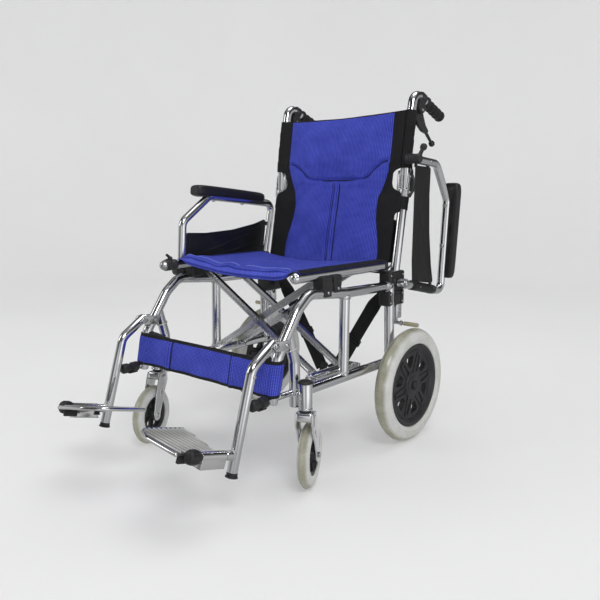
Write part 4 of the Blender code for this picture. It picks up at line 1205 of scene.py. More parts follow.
BRAKE_CABLE = (      # x, y, z
    (0.212, 0.056, 0.854), (0.2, 0.06, 0.82), (0.193, 0.05, 0.75), (0.188, 0.05, 0.7),
    (0.186, 0.048, 0.66), (0.19, 0.04, 0.6), (0.194, 0.022, 0.52), (0.1955, 0.006, 0.465),
    (0.1955, -0.03, 0.448), (0.1955, -0.03, 0.39), (0.21, -0.015, 0.352), (0.22, -0.015, 0.348))


def brake_cable(side):
    """Cable that bends with the folding back."""
    part = Piece("black")
    part.tube([side.at(*point) for point in BRAKE_CABLE], 0.0022, 14, 0.03, 6, 0.5)
    made = part.done(side, "brake_cable", "black_plastic")
    low, high = side.path(RAIL_X, (0.047, 0.64), (0.047, 0.7))
    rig.blend(made, "frame_" + side.name, "back_upper_" + side.name, low, high)


# ---------------------------------------------------------------------- wheels
REAR_TYRE_HALF = 0.0205
# radius, distance from the wheel's middle plane; outer half of the section
REAR_TYRE = [
    (0.1095, REAR_TYRE_HALF - 0.0055), (0.111, REAR_TYRE_HALF - 0.003),
    (0.115, REAR_TYRE_HALF - 0.0012), (0.12, REAR_TYRE_HALF - 0.0002),
    (0.1212, REAR_TYRE_HALF + 0.0002), (0.1224, REAR_TYRE_HALF - 0.0003),
    (0.129, REAR_TYRE_HALF), (0.135, REAR_TYRE_HALF - 0.001),
    (0.1405, REAR_TYRE_HALF - 0.0042), (0.1445, REAR_TYRE_HALF - 0.0085),
    (0.1475, REAR_TYRE_HALF - 0.0135), (0.149, REAR_TYRE_HALF - 0.017),
    (0.14945, 0.0022), (0.14965, 0.001), (0.15, 0.0006)]
REAR_RIM = [(0.109, 0.015), (0.1085, 0.0165), (0.106, 0.0172), (0.101, 0.0165), (0.099, 0.015),
            (0.0965, 0.0125), (0.0925, 0.01), (0.0905, 0.008)]
REAR_HUB = [
    (0, 0.015), (0.0125, 0.015), (0.015, 0.0146), (0.023, 0.0146), (0.0242, 0.014),
    (0.0252, 0.0128), (0.029, 0.0128), (0.0302, 0.0134), (0.033, 0.0134), (0.0345, 0.012),
    (0.036, 0.008), (0.036, -0.008), (0.0345, -0.012), (0.0255, -0.0135), (0.014, -0.0135),
    (0.0125, -0.0155), (0, -0.0155)]


def rear_tyre(side):
    part = Piece("tyre")
    part.lathe(mirrored(REAR_TYRE), side.at(REAR_WHEEL_X, 0, REAR_R), side.out, 128, closed=True)
    part.done(side, "rear_tyre_moulded", "tyre_grey", body="rear_wheel", replaces="rear_tyre",
              smooth=32)


def rear_rim(side):
    """Rim with two lips and a sunk well, a disc with six windows, six ribs and the hub."""
    centre = side.at(REAR_WHEEL_X, 0, REAR_R)
    part = Piece("wheel", "steel")
    part.lathe(mirrored(REAR_RIM), centre, side.out, 96, closed=True)
    base = Matrix.Translation(centre) @ axis_turn(side.out)
    loops = [circle(0.0915, 96)]
    for k in range(6):
        window = []
        for radius, degrees in ((0.05, -9.0), (0.05, 9.0), (0.08, 13.0), (0.08, -13.0)):
            turn = 2 * math.pi * k / 6 + math.radians(10) + math.radians(degrees)
            window.append((radius * math.cos(turn), radius * math.sin(turn)))
        loops.append(soft_loop(window, 0.0052, 6))
    part.plate(loops, 0.017, base, 0.0022, 3)
    rib = soft_loop(mirrored([(0.03, -0.012), (0.086, -0.008)]), 0.004)
    opening = soft_loop(mirrored([(0.038, -0.0078), (0.08, -0.0046)]), 0.003)
    for k in range(6):
        turn = Matrix.Rotation(2 * math.pi * k / 6 + math.radians(40), 4, "Z")
        for way in (-1, 1):
            face = Matrix.Translation((0, 0, way * 0.0092))
            part.plate([rib, opening], 0.005, base @ turn @ face, 0.0012)
    part.lathe(REAR_HUB, centre, side.out, 72)
    part.done(side, "rear_wheel_spokes", "wheel_plastic", body="rear_wheel",
              replaces="rear_rim")


# fork plate as (y, z) behind the stem, with its corner radii
FORK_PLATE = [(-0.015, 0.1835), (0.0185, 0.1835), (0.036, 0.133), (0.0495, 0.08),
              (0.0455, 0.065), (0.035, 0.0605), (0.0245, 0.065), (0.0205, 0.08),
              (-0.001, 0.13), (-0.0165, 0.16)]
FORK_CORNERS = [0.004, 0.004, 0.05, 0.012, 0.008, 0.012, 0.008, 0.012, 0.05, 0.01]
FORK_SLOT = [(0.0055, 0.14), (0.0125, 0.1425), (0.017, 0.129), (0.0105, 0.1265)]


def castor_turn(side):
    turn = Matrix.Rotation(math.radians(CASTOR_TURN[side.name]), 4, "Z")
    return Matrix.Translation(side.at(CASTOR_X, CASTOR_Y, 0.0)) @ turn


def castor_fork(side):
    place = castor_turn(side)
    across = place.to_3x3() @ Vector((1, 0, 0))

    def at(x, y, z):
        return place @ Vector((x, y, z))

    outlines = [soft_loop(FORK_PLATE, FORK_CORNERS, 6), soft_loop(FORK_SLOT, 0.003, 5)]
    part = Piece("chrome", "steel", "black")
    for x in (0.018, -0.018):
        upright = Matrix(((0, 0, 1, x), (1, 0, 0, 0), (0, 1, 0, 0), (0, 0, 0, 1)))
        part.plate(outlines, 0.0034, place @ upright, 0.0012)
    part.box((-0.0197, -0.015, 0.164), (0.0197, 0.0185, 0.1852), 0.007, 5, place)
    part.tube([at(0, 0, 0.17), at(0, 0, 0.236)], 0.006, 24, mat="steel")
    part.lathe([(0, 0), (0.0118, 0), (0.0126, 0.0012), (0.0126, 0.004), (0.011, 0.005),
                (0, 0.005)], at(0, 0, 0.185), (0, 0, 1), 32, mat="black")
    axle = (CASTOR_TRAIL, CASTOR_R)
    part.tube([at(-0.0215, *axle), at(0.0215, *axle)], 0.004, 24, mat="steel")
    part.bolt(at(0.0192, *axle), across, 0.0062, 0.005, "hex", mat="steel")
    part.bolt(at(-0.0192, *axle), -across, 0.0062, 0.0044, mat="steel")
    part.done(side, "castor_fork_plates", "chromed_steel", body="castor_yoke",
              replaces="castor_fork")


def castor_wheel(side):
    """Moulded tyre, then its rim, hub, pierced disc and ribs."""
    place = castor_turn(side)
    axis = place.to_3x3() @ Vector((1, 0, 0))
    centre = place @ Vector((0, CASTOR_TRAIL, CASTOR_R))
    half, outer, bore = CASTOR_WIDTH / 2, CASTOR_R, 0.047
    section = [
        (bore, half - 0.003), (bore + 0.0015, half - 0.0012), (bore + 0.006, half - 0.0002),
        (bore + 0.0072, half + 0.0002), (bore + 0.0084, half - 0.0003),
        (outer - 0.016, half - 0.0004), (outer - 0.011, half - 0.0018),
        (outer - 0.0065, half - 0.0048), (outer - 0.003, half - 0.0085),
        (outer - 0.0012, half - 0.0112), (outer - 0.0005, 0.002), (outer - 0.0003, 0.0009),
        (outer, 0.0005)]
    tyre = Piece("tyre_small")
    tyre.lathe(mirrored(section), centre, axis, 96, closed=True)
    tyre.done(side, "castor_tyre_moulded", "tyre_grey", body="castor_wheel",
              replaces="castor_tyre", smooth=32)

    hub = Piece("wheel")
    hub.lathe(mirrored([(bore - 0.0004, 0.009), (bore - 0.0016, 0.01), (bore - 0.005, 0.01),
                        (bore - 0.008, 0.008), (bore - 0.0095, 0.004)]),
              centre, axis, 72, closed=True)
    hub.lathe(mirrored([(0, 0.0155), (0.0105, 0.0155), (0.0118, 0.0148), (0.013, 0.011),
                        (0.0145, 0.006)]), centre, axis)
    base = Matrix.Translation(centre) @ axis_turn(axis)
    holes = [circle(0.0062, 20, across, up) for across, up in circle(0.0262, 6)]
    hub.plate([circle(bore - 0.006, 72)] + holes, 0.005, base, 0.001)
    rib = soft_loop(mirrored([(0.012, -0.0016), (0.04, -0.0012)]), 0.0008)
    for k in range(6):
        hub.plate([rib], 0.015, base @ Matrix.Rotation(math.pi / 3 * (k + 0.5), 4, "Z"))
    hub.done(side, "castor_hub_ribs", "wheel_plastic", body="castor_wheel",
             replaces="castor_hub")


# --------------------------------------------------------------------- legrest
FOOT_FORWARD = Vector((0, -math.cos(FOOT_PITCH), math.sin(FOOT_PITCH)))
FOOT_UP = Vector((0, math.sin(FOOT_PITCH), math.cos(FOOT_PITCH)))
HANGER_TUBE = ((-0.4855, 0.3413), (-0.549, 0.300), (-0.611, 0.095))
# footplate outline as (inward, forward) from the foot origin, with its corner radii
FOOTPLATE = [(0.008, 0.036), (0.03, 0.034), (0.156, 0.006), (0.157, 0.118), (0.108, 0.14),
             (0.016, 0.14), (0.016, 0.096), (0.008, 0.094)]
FOOTPLATE_CORNERS = [0.003, 0.02, 0.01, 0.03, 0.03, 0.006, 0.002, 0.002]
FOOTPLATE_HALF = 0.0035


def hanger_tube(side):
    base = side.at(FRAME_X, *FOOT_ORIGIN)
    part = Piece("frame", "steel", "weld")
    part.tube(side.path(FRAME_X, *HANGER_TUBE), THIN_R, 36, 0.034, 14, 0.30)
    part.tube([base, base + FOOT_FORWARD * 0.1], 0.0073, 24)
    part.lathe([(0, 0), (0.009, 0), (0.0097, 0.0008), (0.0097, 0.0222), (0.009, 0.023),
                (0, 0.023)], base + FOOT_FORWARD * 0.006, FOOT_FORWARD, 32)
    part.bead(base + FOOT_FORWARD * 0.0108, FOOT_FORWARD, 0.0092, 0.0018)
    # button on the outer face, below the pivot
    part.bolt(side.at(FRAME_X + 0.0108, -0.553, 0.285), side.out, 0.0042, 0.003, mat="steel")
    part.done(side, "hanger_tube", "frame_aluminium", body="hanger", replaces="legrest_hanger")


def hanger_caps(side):
    """Ribbed cap on the foot spindle and the plug in the low end of the tube."""
    base = side.at(FRAME_X, *FOOT_ORIGIN)
    part = Piece("black")
    part.lathe([(0, 0.0272), (0.007, 0.027), (0.0112, 0.0262), (0.0132, 0.024),
                (0.014, 0.0205), (0.0142, 0.012), (0.0138, 0.0045), (0.0128, 0.0018),
                (0.0108, 0), (0, 0)], base + FOOT_FORWARD * 0.0985, FOOT_FORWARD, 40)
    across = Vector((1, 0, 0))
    for u, v in circle(0.0139, 10):
        offset = across * u + FOOT_FORWARD.cross(across) * v
        part.tube([base + FOOT_FORWARD * far + offset for far in (0.104, 0.119)], 0.0011, 8,
                  dome=0.9)
    knee, tip = side.path(FRAME_X, *HANGER_TUBE[1:])
    part.lathe([(0, 0.0052), (0.01, 0.005), (0.0128, 0.004), (0.0134, 0.0026),
                (0.013, 0.0012), (0.0117, 0.0006), (0.0114, -0.006), (0, -0.006)],
               tip, tip - knee, 36)
    part.done(side, "hanger_caps", "black_plastic", body="hanger")


def foot_frame(side):
    """Matrix of the footplate: x inward, y forward, z square to it (up on the left side)."""
    tilt = math.radians(FOOT_TILT[side.name])
    inward = -side.out * math.cos(tilt) + math.sin(tilt) * FOOT_UP
    normal = inward.cross(FOOT_FORWARD).normalized()
    return from_axes(inward, FOOT_FORWARD, normal, side.at(FRAME_X, *FOOT_ORIGIN))


def footplate(side):
    base = side.at(FRAME_X, *FOOT_ORIGIN)
    place, sign = foot_frame(side), side.sign
    part = Piece("foot", "footlip", "tread")
    lower = Matrix.Translation((0, 0, -sign * 0.0008))
    part.plate([soft_loop(FOOTPLATE, FOOTPLATE_CORNERS, 7)], 2 * FOOTPLATE_HALF - 0.002,
               place @ lower, 0.0012)

    def near_top(inward, forward, depth):
        return place @ Vector((inward, forward, sign * (FOOTPLATE_HALF - depth)))

    # tread ribs, parallel to the front edge
    for k in range(10):
        forward = 0.127 - k * 0.0122
        start = 0.0185 if forward > 0.0965 else 0.0128
        if forward < 0.036:      # the rear edge slopes
            start = 0.033 + (0.034 - forward) / 0.028 * 0.123
        end = 0.1545
        if forward >= 0.116:     # so does the front inner corner
            end = 0.108 + (0.14 - forward) / (0.14 - 0.118) * 0.047
        end = min(end, 0.1535) - 0.001
        part.tube([near_top(start, forward, 0.0017), near_top(end, forward, 0.0017)], 0.0018,
                  14, dome=0.6, oval=(2.0, 1.0), up=place.col[2].xyz, mat="tread")
    # rolled bright lip along the front, round the inner corner and down the inner edge
    lip = ((0.017, 0.1388), (0.1075, 0.1388), (0.1556, 0.1172), (0.155, 0.011))
    part.tube([near_top(*point, 0.0037) for point in lip], 0.0044, 20, [0.03, 0.028],
              dome=0.9, mat="footlip")
    # hinge barrel and the skirt below it: outer, lower, inner and front walls
    part.lathe([(0.008, 0), (0.0104, 0), (0.011, 0.0006), (0.011, 0.0629), (0.0104, 0.0635),
                (0.008, 0.0635)], base + FOOT_FORWARD * 0.032, FOOT_FORWARD, 44, closed=True,
               mat="footlip")
    for (x0, y0, z0), (x1, y1, z1), bevel in (
            ((-0.0105, 0.0325, 0.0225), (-0.0078, 0.095, 0.001), 0.0008),
            ((-0.01, 0.033, 0.023), (0.014, 0.0945, 0.0205), 0.0008),
            ((0.01, 0.033, 0.0225), (0.0125, 0.0945, 0.003), 0.0008),
            ((-0.008, 0.0925, 0.0215), (0.0115, 0.0943, 0.002), 0.0006)):
        part.box((x0, y0, -sign * z0), (x1, y1, -sign * z1), bevel, matrix=place, mat="footlip")
    part.done(side, "footplate_tread", "footplate_aluminium", body="foot", replaces="footplate")


def footplate_corner(side):
    """Block under the front outer corner and a stud under the middle of the plate."""
    place, sign = foot_frame(side), side.sign
    part = Piece("black")
    corner = [(0.017, 0.0985), (0.029, 0.0985), (0.025, 0.129), (0.017, 0.129)]
    part.plate([soft_loop(corner, 0.003)], 0.015,
               place @ Matrix.Translation((0, 0, -sign * 0.012)), 0.0016)
    part.lathe([(0, 0), (0.005, 0.0002), (0.0062, 0.0014), (0.0062, 0.0078), (0.0075, 0.0086),
                (0.0075, 0.011), (0, 0.0112)],
               place @ Vector((0.06, 0.07, -sign * FOOTPLATE_HALF)), place.col[2].xyz * -sign, 28)
    part.done(side, "footplate_corner", "black_plastic", body="foot")


# ----------------------------------------------------------------- cross brace
def cross_body(side):
    return "cross_a" if side.sign > 0 else "cross_b"


def cross_brace(side):
    """A seat rail, the tube at its brace's low end and the two bars between them."""
    sign = side.sign
    end_y = -0.408 if sign > 0 else -0.42

    def rail(y, x=0.0, z=0.0):
        return side.at(RAIL_X + x, y, RAIL_Z + z)

    # the fourth slot is the end cap's own
    part = Piece("frame", "brace", "steel", "steel" if sign < 0 else "frame", "weld", "wheel")
    part.tube([rail(end_y), rail(-0.066)], TUBE_R, 36, dome=0.2)
    part.lathe([(0, 0.0035), (0.008, 0.0032), (0.012, 0.002), (0.0134, 0.0004),
                (0.0134, -0.012), (0.0122, -0.0125), (0, -0.0125)], rail(-0.066), (0, 1, 0), 36,
               mat="wheel")
    part.lathe([(0, 0.0125), (0.0045, 0.012), (0.0082, 0.0102), (0.0108, 0.007),
                (0.0118, 0.003), (0.0128, 0.0022), (0.0128, 0), (0, 0)], rail(end_y),
               (0, -1, 0), 36, mat=3)
    if sign < 0:      # waisted collar with a small lever on the right rail's front end
        part.lathe([(0.0122, 0), (0.0136, 0), (0.0142, 0.001), (0.0142, 0.012),
                    (0.0134, 0.0132), (0.0134, 0.017), (0.0142, 0.0182), (0.0142, 0.033),
                    (0.0136, 0.034), (0.0122, 0.034)], rail(end_y + 0.034), (0, -1, 0), 40,
                   closed=True, mat="wheel")
        part.box(rail(end_y + 0.012, 0.0045, 0.011), rail(end_y + 0.023, -0.0045, 0.0215),
                 0.0022, mat="wheel")
        part.tube([rail(end_y + 0.0175, z=0.019), rail(end_y + 0.008, z=0.026)], 0.0036, 16,
                  dome=0.9, mat="wheel")
    part.tube(side.path(-CROSS_X, (-0.3265, CROSS_Z), (-0.1735, CROSS_Z)), 0.011, 32)
    # grooved bar section; each side's bars are shifted so that the pairs pass
    half, thick, groove = 0.008, 0.005, 0.0011
    section = mirrored([(-half, -thick), (-0.0026, -thick), (-0.0018, -thick + groove),
                        (0.0018, -thick + groove), (0.0026, -thick), (half, -thick)])
    turn = Matrix.Rotation(-sign * CROSS_ANGLE, 4, "Y")
    along = Matrix(((0, 0, sign, 0), (0, 1, 0, 0), (1, 0, 0, 0), (0, 0, 0, 1)))
    middle = Matrix.Translation((0, 0, CROSS_LENGTH / 2))
    for y in CROSS_BAR_Y:
        place = Matrix.Translation(side.at(-CROSS_X, y + sign * 0.0055, CROSS_Z)) @ turn
        part.plate([section], CROSS_LENGTH, place @ along @ middle, 0.0005, 1, mat="brace")
        for far in (0.02, CROSS_LENGTH - 0.03):
            for way in (-1, 1):
                part.bolt(place @ Vector((sign * far, way * thick, 0)), (0, way, 0), 0.0034,
                          0.0016, socket=False, mat="steel")
        axis = place.to_3x3() @ Vector((1, 0, 0))
        part.bead(place @ Vector((sign * (CROSS_LENGTH - 0.013), 0, 0)), axis, 0.0078, 0.002)
        part.bead(place @ Vector((sign * 0.012, 0, 0)), axis, 0.0078, 0.0018)
    made = part.done(side, "cross_brace", "brace_aluminium", replaces="seat_rail")
    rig.ride(made, cross_body(side))


def cross_bolts():
    part = Piece("steel")
    for bar_y in CROSS_BAR_Y:
        def at(y):
            return Vector((0, bar_y + y + AXLE_Y, CROSS_PIVOT_Z))

        part.tube([at(-0.0125), at(0.0125)], 0.0033, 20)
        part.lathe([(0, 0), (0.0082, 0), (0.0086, 0.0004), (0.0086, 0.001), (0, 0.0012)],
                   at(-0.0106), (0, -1, 0), 32)
        part.bolt(at(-0.0116), (0, -1, 0), 0.0066, 0.0042, "hex")
        part.bolt(at(0.0112), (0, 1, 0), 0.0066, 0.0034)
    made = part.build("cross_bolts")
    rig.slot(made, "plain_steel")
    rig.replaces(made, "cross_bolt_front", "cross_bolt_rear")
    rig.ride(made, "cross_a")


# -------------------------------------------------------------------- armrests
ARM_REAR_TOP = (0.016, 0.6188)
ARM_PAD_HALF_LENGTH, ARM_PAD_HALF_WIDTH = 0.131, 0.0225
PANEL_EDGE = soft_loop(
    [(-0.322, 0.47), (-0.3195, 0.543), (-0.25, 0.54), (-0.15, 0.545), (-0.06, 0.559),
     (-0.013, 0.572), (-0.029, 0.468), (-0.08, 0.464)],
    [0.004, 0.006, 0.10, 0.2, 0.2, 0.006, 0.003, 0.05], 8)
PANEL_RIB = soft_loop(
    [(-0.312, 0.479), (-0.31, 0.533), (-0.25, 0.53), (-0.15, 0.5345), (-0.064, 0.548),
     (-0.026, 0.559), (-0.04, 0.477), (-0.082, 0.473)],
    [0.006, 0.008, 0.10, 0.2, 0.2, 0.008, 0.006, 0.05], 8)
PANEL_FOLDS = (
    ((-0.3, 0.482), (-0.19, 0.502), (-0.05, 0.545)),
    ((-0.25, 0.474), (-0.14, 0.486), (-0.04, 0.515)),
    ((-0.2, 0.472), (-0.12, 0.478), (-0.045, 0.49)))


def arm_top(y):
    return ARM_FRONT_Z + (y - ARM_FRONT_Y) * (ARM_REAR_Z - ARM_FRONT_Z) / ARM_RUN


def arm_swing(side):
    """The left armrest is swung up about its pivot; the right one stays down."""
    if side.sign < 0:
        return Matrix.Identity(4)
    pivot = side.at(ARM_X, *ARM_PIVOT)
    turn = Matrix.Rotation(-math.pi / 2, 4, "X")
    return Matrix.Translation(pivot) @ turn @ Matrix.Translation(-pivot)


def armrest_frame(side):
    at, out = side.at, side.out
    part = Piece("frame", "steel")
    part.tube(side.path(ARM_X, (-0.339, 0.4563), (-0.331, 0.574), (ARM_FRONT_Y, ARM_FRONT_Z),
                        ARM_REAR_TOP, ARM_PIVOT), THIN_R, 36, [0.03, 0.03, 0.022], 12, 0.25)
    part.lathe([(0, 0), (0.0125, 0), (0.013, 0.0006), (0.013, 0.0206), (0.0125, 0.0212),
                (0, 0.0212)], at(0.237, *ARM_PIVOT), out, 36)
    for y in (-0.22, -0.11):      # screws and washers under the pad
        place = at(ARM_X, y, arm_top(y) - 0.0108)
        part.bolt(place, (0, 0, -1), 0.0048, 0.0028, mat="steel")
        part.lathe([(0, 0), (0.0062, 0), (0.0062, 0.001), (0, 0.001)],
                   place + Vector((0, 0, 0.0008)), (0, 0, -1), 24, mat="steel")
    for y, z in ((-0.334, 0.53), (-0.3355, 0.47), (0.001, 0.56), (-0.011, 0.49)):
        part.bolt(at(ARM_X + 0.0107, y, z), out, 0.0036, 0.0022, mat="steel")
    part.move(arm_swing(side))
    part.done(side, "armrest_frame", "frame_aluminium", body="armrest", replaces="armrest_tube")


def cushion_rings(count=64, around=40):
    """Crowned foam pad: a super-ellipse section that rounds off at both ends."""
    def power(value, exponent):
        return math.copysign(abs(value) ** exponent, value)

    rings = []
    for i in range(count + 1):
        y = ARM_PAD_HALF_LENGTH * math.sin((-1 + 2 * i / count) * math.pi / 2)
        if i in (0, count):
            rings.append([Vector((0, y, 0.001))])
            continue
        part = y / ARM_PAD_HALF_LENGTH
        full = (1 - abs(part) ** 14) ** 0.5
        wide = ARM_PAD_HALF_WIDTH * (0.55 + 0.45 * full) * (1.0 - 0.05 * part)
        nose = math.exp(-((y + ARM_PAD_HALF_LENGTH - 0.020) / 0.020) ** 2)
        low = (0.0125 + 0.0030 * nose) * (0.70 + 0.30 * full)
        high = (0.0165 + 0.0012 * math.cos(part * 1.2)) * (0.55 + 0.45 * full)
        ring = []
        for across, up in circle(1.0, around):
            z = high * power(up, 0.62) if up > 0 else low * power(up, 0.42)
            ring.append(Vector((wide * power(across, 0.55), y, z)))
        rings.append(ring)
    return rings


def armrest_cushion(side):
    slope = math.atan2(ARM_REAR_Z - ARM_FRONT_Z, ARM_RUN)
    middle = side.at(0.256, -0.151, arm_top(-0.151) + 0.012)
    place = Matrix.Translation(middle) @ Matrix.Rotation(slope, 4, "X")
    part = Piece("pad", "black")
    part.add(*skin([[place @ point for point in ring] for ring in cushion_rings()]))
    part.box((-0.015, -0.118, -0.0135), (0.015, 0.118, -0.0105), 0.0012, matrix=place,
             mat="black")
    part.move(arm_swing(side))
    part.done(side, "armrest_cushion", "armrest_foam", body="armrest", replaces="armrest_pad",
              smooth=60, subdivide=1)


def armrest_panel(side):
    path = side.path
    part = Piece("panel")
    part.plate([PANEL_EDGE], 0.0026, side.plane(ARM_X), 0.001)
    # a beaded border and a pressed rib inside it
    part.tube(path(ARM_X, *PANEL_EDGE, PANEL_EDGE[0]), 0.0019, 10, dome=0)
    part.tube(path(ARM_X, *PANEL_RIB, PANEL_RIB[0]), 0.0017, 8, dome=0)
    # tabs to the front and rear legs
    for y, z, length in ((-0.333, 0.53, 0.016), (-0.335, 0.47, 0.016), (-0.002, 0.56, -0.022),
                         (-0.016, 0.49, -0.022)):
        part.box(side.at(ARM_X - 0.0022, y, z - 0.0055),
                 side.at(ARM_X + 0.0022, y + length, z + 0.0055), 0.0012)
    # the cloth wraps the rear leg, and slack folds cross the panel
    foot, head = path(ARM_X, ARM_PIVOT, ARM_REAR_TOP)
    if side.sign > 0:
        part.tube([foot.lerp(head, k / 9) for k in (1.6, 2.5, 3.5, 4.5, 5.5, 6.2, 7)],
                  lambda run: 0.0128 + 0.0005 * math.sin(run * 17), 32, dome=0.3)
    else:
        part.tube([foot.lerp(head, 0.18), foot.lerp(head, 0.27)], 0.0128, dome=0.3)
    for fold in PANEL_FOLDS:
        part.tube(path(ARM_X, *fold), lambda run: 0.0008 + 0.0022 * math.sin(math.pi * run), 14,
                  0.2, 8, 0.5, oval=(1.0, 2.2), up=(1, 0, 0))
    part.move(arm_swing(side))
    part.done(side, "armrest_side_panel", "black_nylon", body="armrest",
              replaces="armrest_panel")


def armrest_lock(side):
    """Ribbed barrel, black body and the little lever with its ball."""
    y, z = -0.339, 0.443
    barrel = side.at(0.2372, y, z)
    part = Piece("black", "brace")
    part.lathe([(0, 0), (0.0108, 0), (0.011, 0.0175), (0, 0.0175)], barrel, side.out, 40,
               mat="brace")
    for k in range(4):
        low = 0.0004 + k * 0.0046
        part.lathe([(0.0105, low), (0.0124, low), (0.013, low + 0.0004), (0.013, low + 0.0024),
                    (0.0124, low + 0.0028), (0.0105, low + 0.0028)], barrel, side.out, 40,
                   closed=True)
    part.lathe([(0, 0), (0.0112, 0), (0.012, 0.0008), (0.012, 0.019), (0.0105, 0.0215),
                (0, 0.0218)], side.at(0.2545, y, z), side.out, 40)
    part.tube(side.path(0.269, (y, z), (-0.356, 0.458), (-0.364, 0.465)),
              lambda run: 0.0056 - 0.0008 * run, 20, 0.006, 6)
    part.lathe(mirrored([(0, -0.0092), (0.005, -0.008), (0.0082, -0.0046), (0.009, 0)]),
               side.at(0.269, -0.368, 0.4685), (0, -0.75, 0.66), 32)
    part.move(arm_swing(side))
    part.done(side, "armrest_lock", "black_plastic", body="armrest_lock",
              replaces="armrest_latch")


# ------------------------------------------------------------------------ seat
SEAT_BLUE_X, SEAT_HEM_X = 0.1965, 0.2080      # edges of the blue cloth and the flat hem
SEAT_REAR_Y = -0.0690
SEAT_WRAP_FRONT_Y = -0.4060
SEAT_WRAP_R = TUBE_R + 0.0022
SEAT_CREST_Z = RAIL_Z + SEAT_WRAP_R
SEAT_CLOTH, SEAT_DEPTH = 0.36, 0.345          # front to rear, for the cloth and for the folds
SEAT_LIP = (      # x, drop of the front lip below the crest
    (-0.208, 0), (-0.18, 0.001), (-0.135, 0.0045), (-0.09, 0.0085), (-0.04, 0.0125),
    (0, 0.014), (0.08, 0.015), (0.15, 0.0135), (0.19, 0.0075), (0.208, 0))
SEAT_FOLDS = (    # from x, depth, to x, depth, width, height (negative for a valley)
    (-0.2, 0.01, -0.02, 0.095, 0.012, 0.0085), (-0.16, 0.05, 0.06, 0.17, 0.015, 0.007),
    (0.19, 0.02, 0.06, 0.09, 0.011, 0.007), (0.185, 0.12, 0.04, 0.2, 0.014, 0.0055),
    (-0.19, 0.04, -0.02, 0.12, 0.01, -0.006), (0.02, 0.006, 0.075, 0.06, 0.012, -0.007),
    (0.15, 0.03, 0.03, 0.14, 0.011, -0.006), (-0.01, 0.2, 0.15, 0.28, 0.016, -0.005))
# rows of the seat: 0 at the front, 1 at the rear
SEAT_ROWS = np.concatenate([
    [0.0, 0.0018, 0.0045, 0.0085, 0.0135, 0.0200], np.linspace(0.0270, 0.1500, 17),
    np.linspace(0.163, 0.975, 62), [0.985, 1.0]])
# columns of one half: blue cloth, flat hem, wrap over the rail
SEAT_FLAT_X = np.concatenate([
    SEAT_BLUE_X * np.arange(36) / 35,
    SEAT_BLUE_X + (SEAT_HEM_X - SEAT_BLUE_X) * np.arange(1, 4) / 3])
SEAT_WRAP_TURN = np.radians(110 - 72 * np.arange(1, 11) / 10)
SEAT_HALF = len(SEAT_FLAT_X) + len(SEAT_WRAP_TURN)


def seat_flat(x, row):
    """Points of the cloth between the rails."""
    front = -0.4135 - 0.0040 * np.clip(1 - (x / 0.205) ** 2, 0, 1)
    part = np.clip(np.abs(x) / SEAT_HEM_X, 0, 1)
    body = SEAT_CREST_Z - (0.0250 - 0.005 * row) * (1 - part ** 2.0)
    lip = SEAT_CREST_Z - np.interp(x, *zip(*SEAT_LIP))
    back = smoothstep(0.0, 0.34, row)
    return grid(x, front + (SEAT_REAR_Y - front) * row, lip * (1 - back) + body * back)


def seat_skew(x, row):
    """The cover sits askew: its right front corner is further back."""
    return (0.0175 - 0.016 * x / 0.215) * (1 - row) ** 1.3


def seat_middle():
    """Middle surface of the whole cloth, right edge to left edge."""
    row = SEAT_ROWS[:, None]
    halves = []
    for side in SIDES:
        wrap = grid(side.sign * (RAIL_X + SEAT_WRAP_R * np.cos(SEAT_WRAP_TURN)),
                    SEAT_WRAP_FRONT_Y + (SEAT_REAR_Y - SEAT_WRAP_FRONT_Y) * row,
                    RAIL_Z + SEAT_WRAP_R * np.sin(SEAT_WRAP_TURN))
        flat = seat_flat(side.sign * SEAT_FLAT_X[None], row)
        halves.append(np.concatenate([flat, wrap], 1))
    left, right = halves
    middle = np.concatenate([right[:, :0:-1], left], 1)
    middle[..., 1] += seat_skew(middle[..., 0], row)
    return middle


def seat_fold(x, depth):
    """Broad folds that run in from the front corners, and low wrinkles."""
    fold = 0.0
    for x0, depth0, x1, depth1, width, height in SEAT_FOLDS:
        dx, dd = x1 - x0, depth1 - depth0
        part = np.clip(((x - x0) * dx + (depth - depth0) * dd) / (dx * dx + dd * dd), 0, 1)
        away = np.hypot(x - x0 - part * dx, depth - depth0 - part * dd)
        fade = np.sin(np.pi * np.clip(part * 0.92 + 0.06, 0, 1)) ** 0.6
        fold = fold + height * np.exp(-(away / width) ** 2) * fade
    ripple = wrinkle(x, depth / SEAT_DEPTH * SEAT_CLOTH, seed=5, scale=0.12)
    fold += 0.0024 * ripple * (1 - np.abs(x / 0.2) ** 4).clip(0, 1)
    return fold * np.clip((0.205 - np.abs(x)) / 0.02, 0, 1)


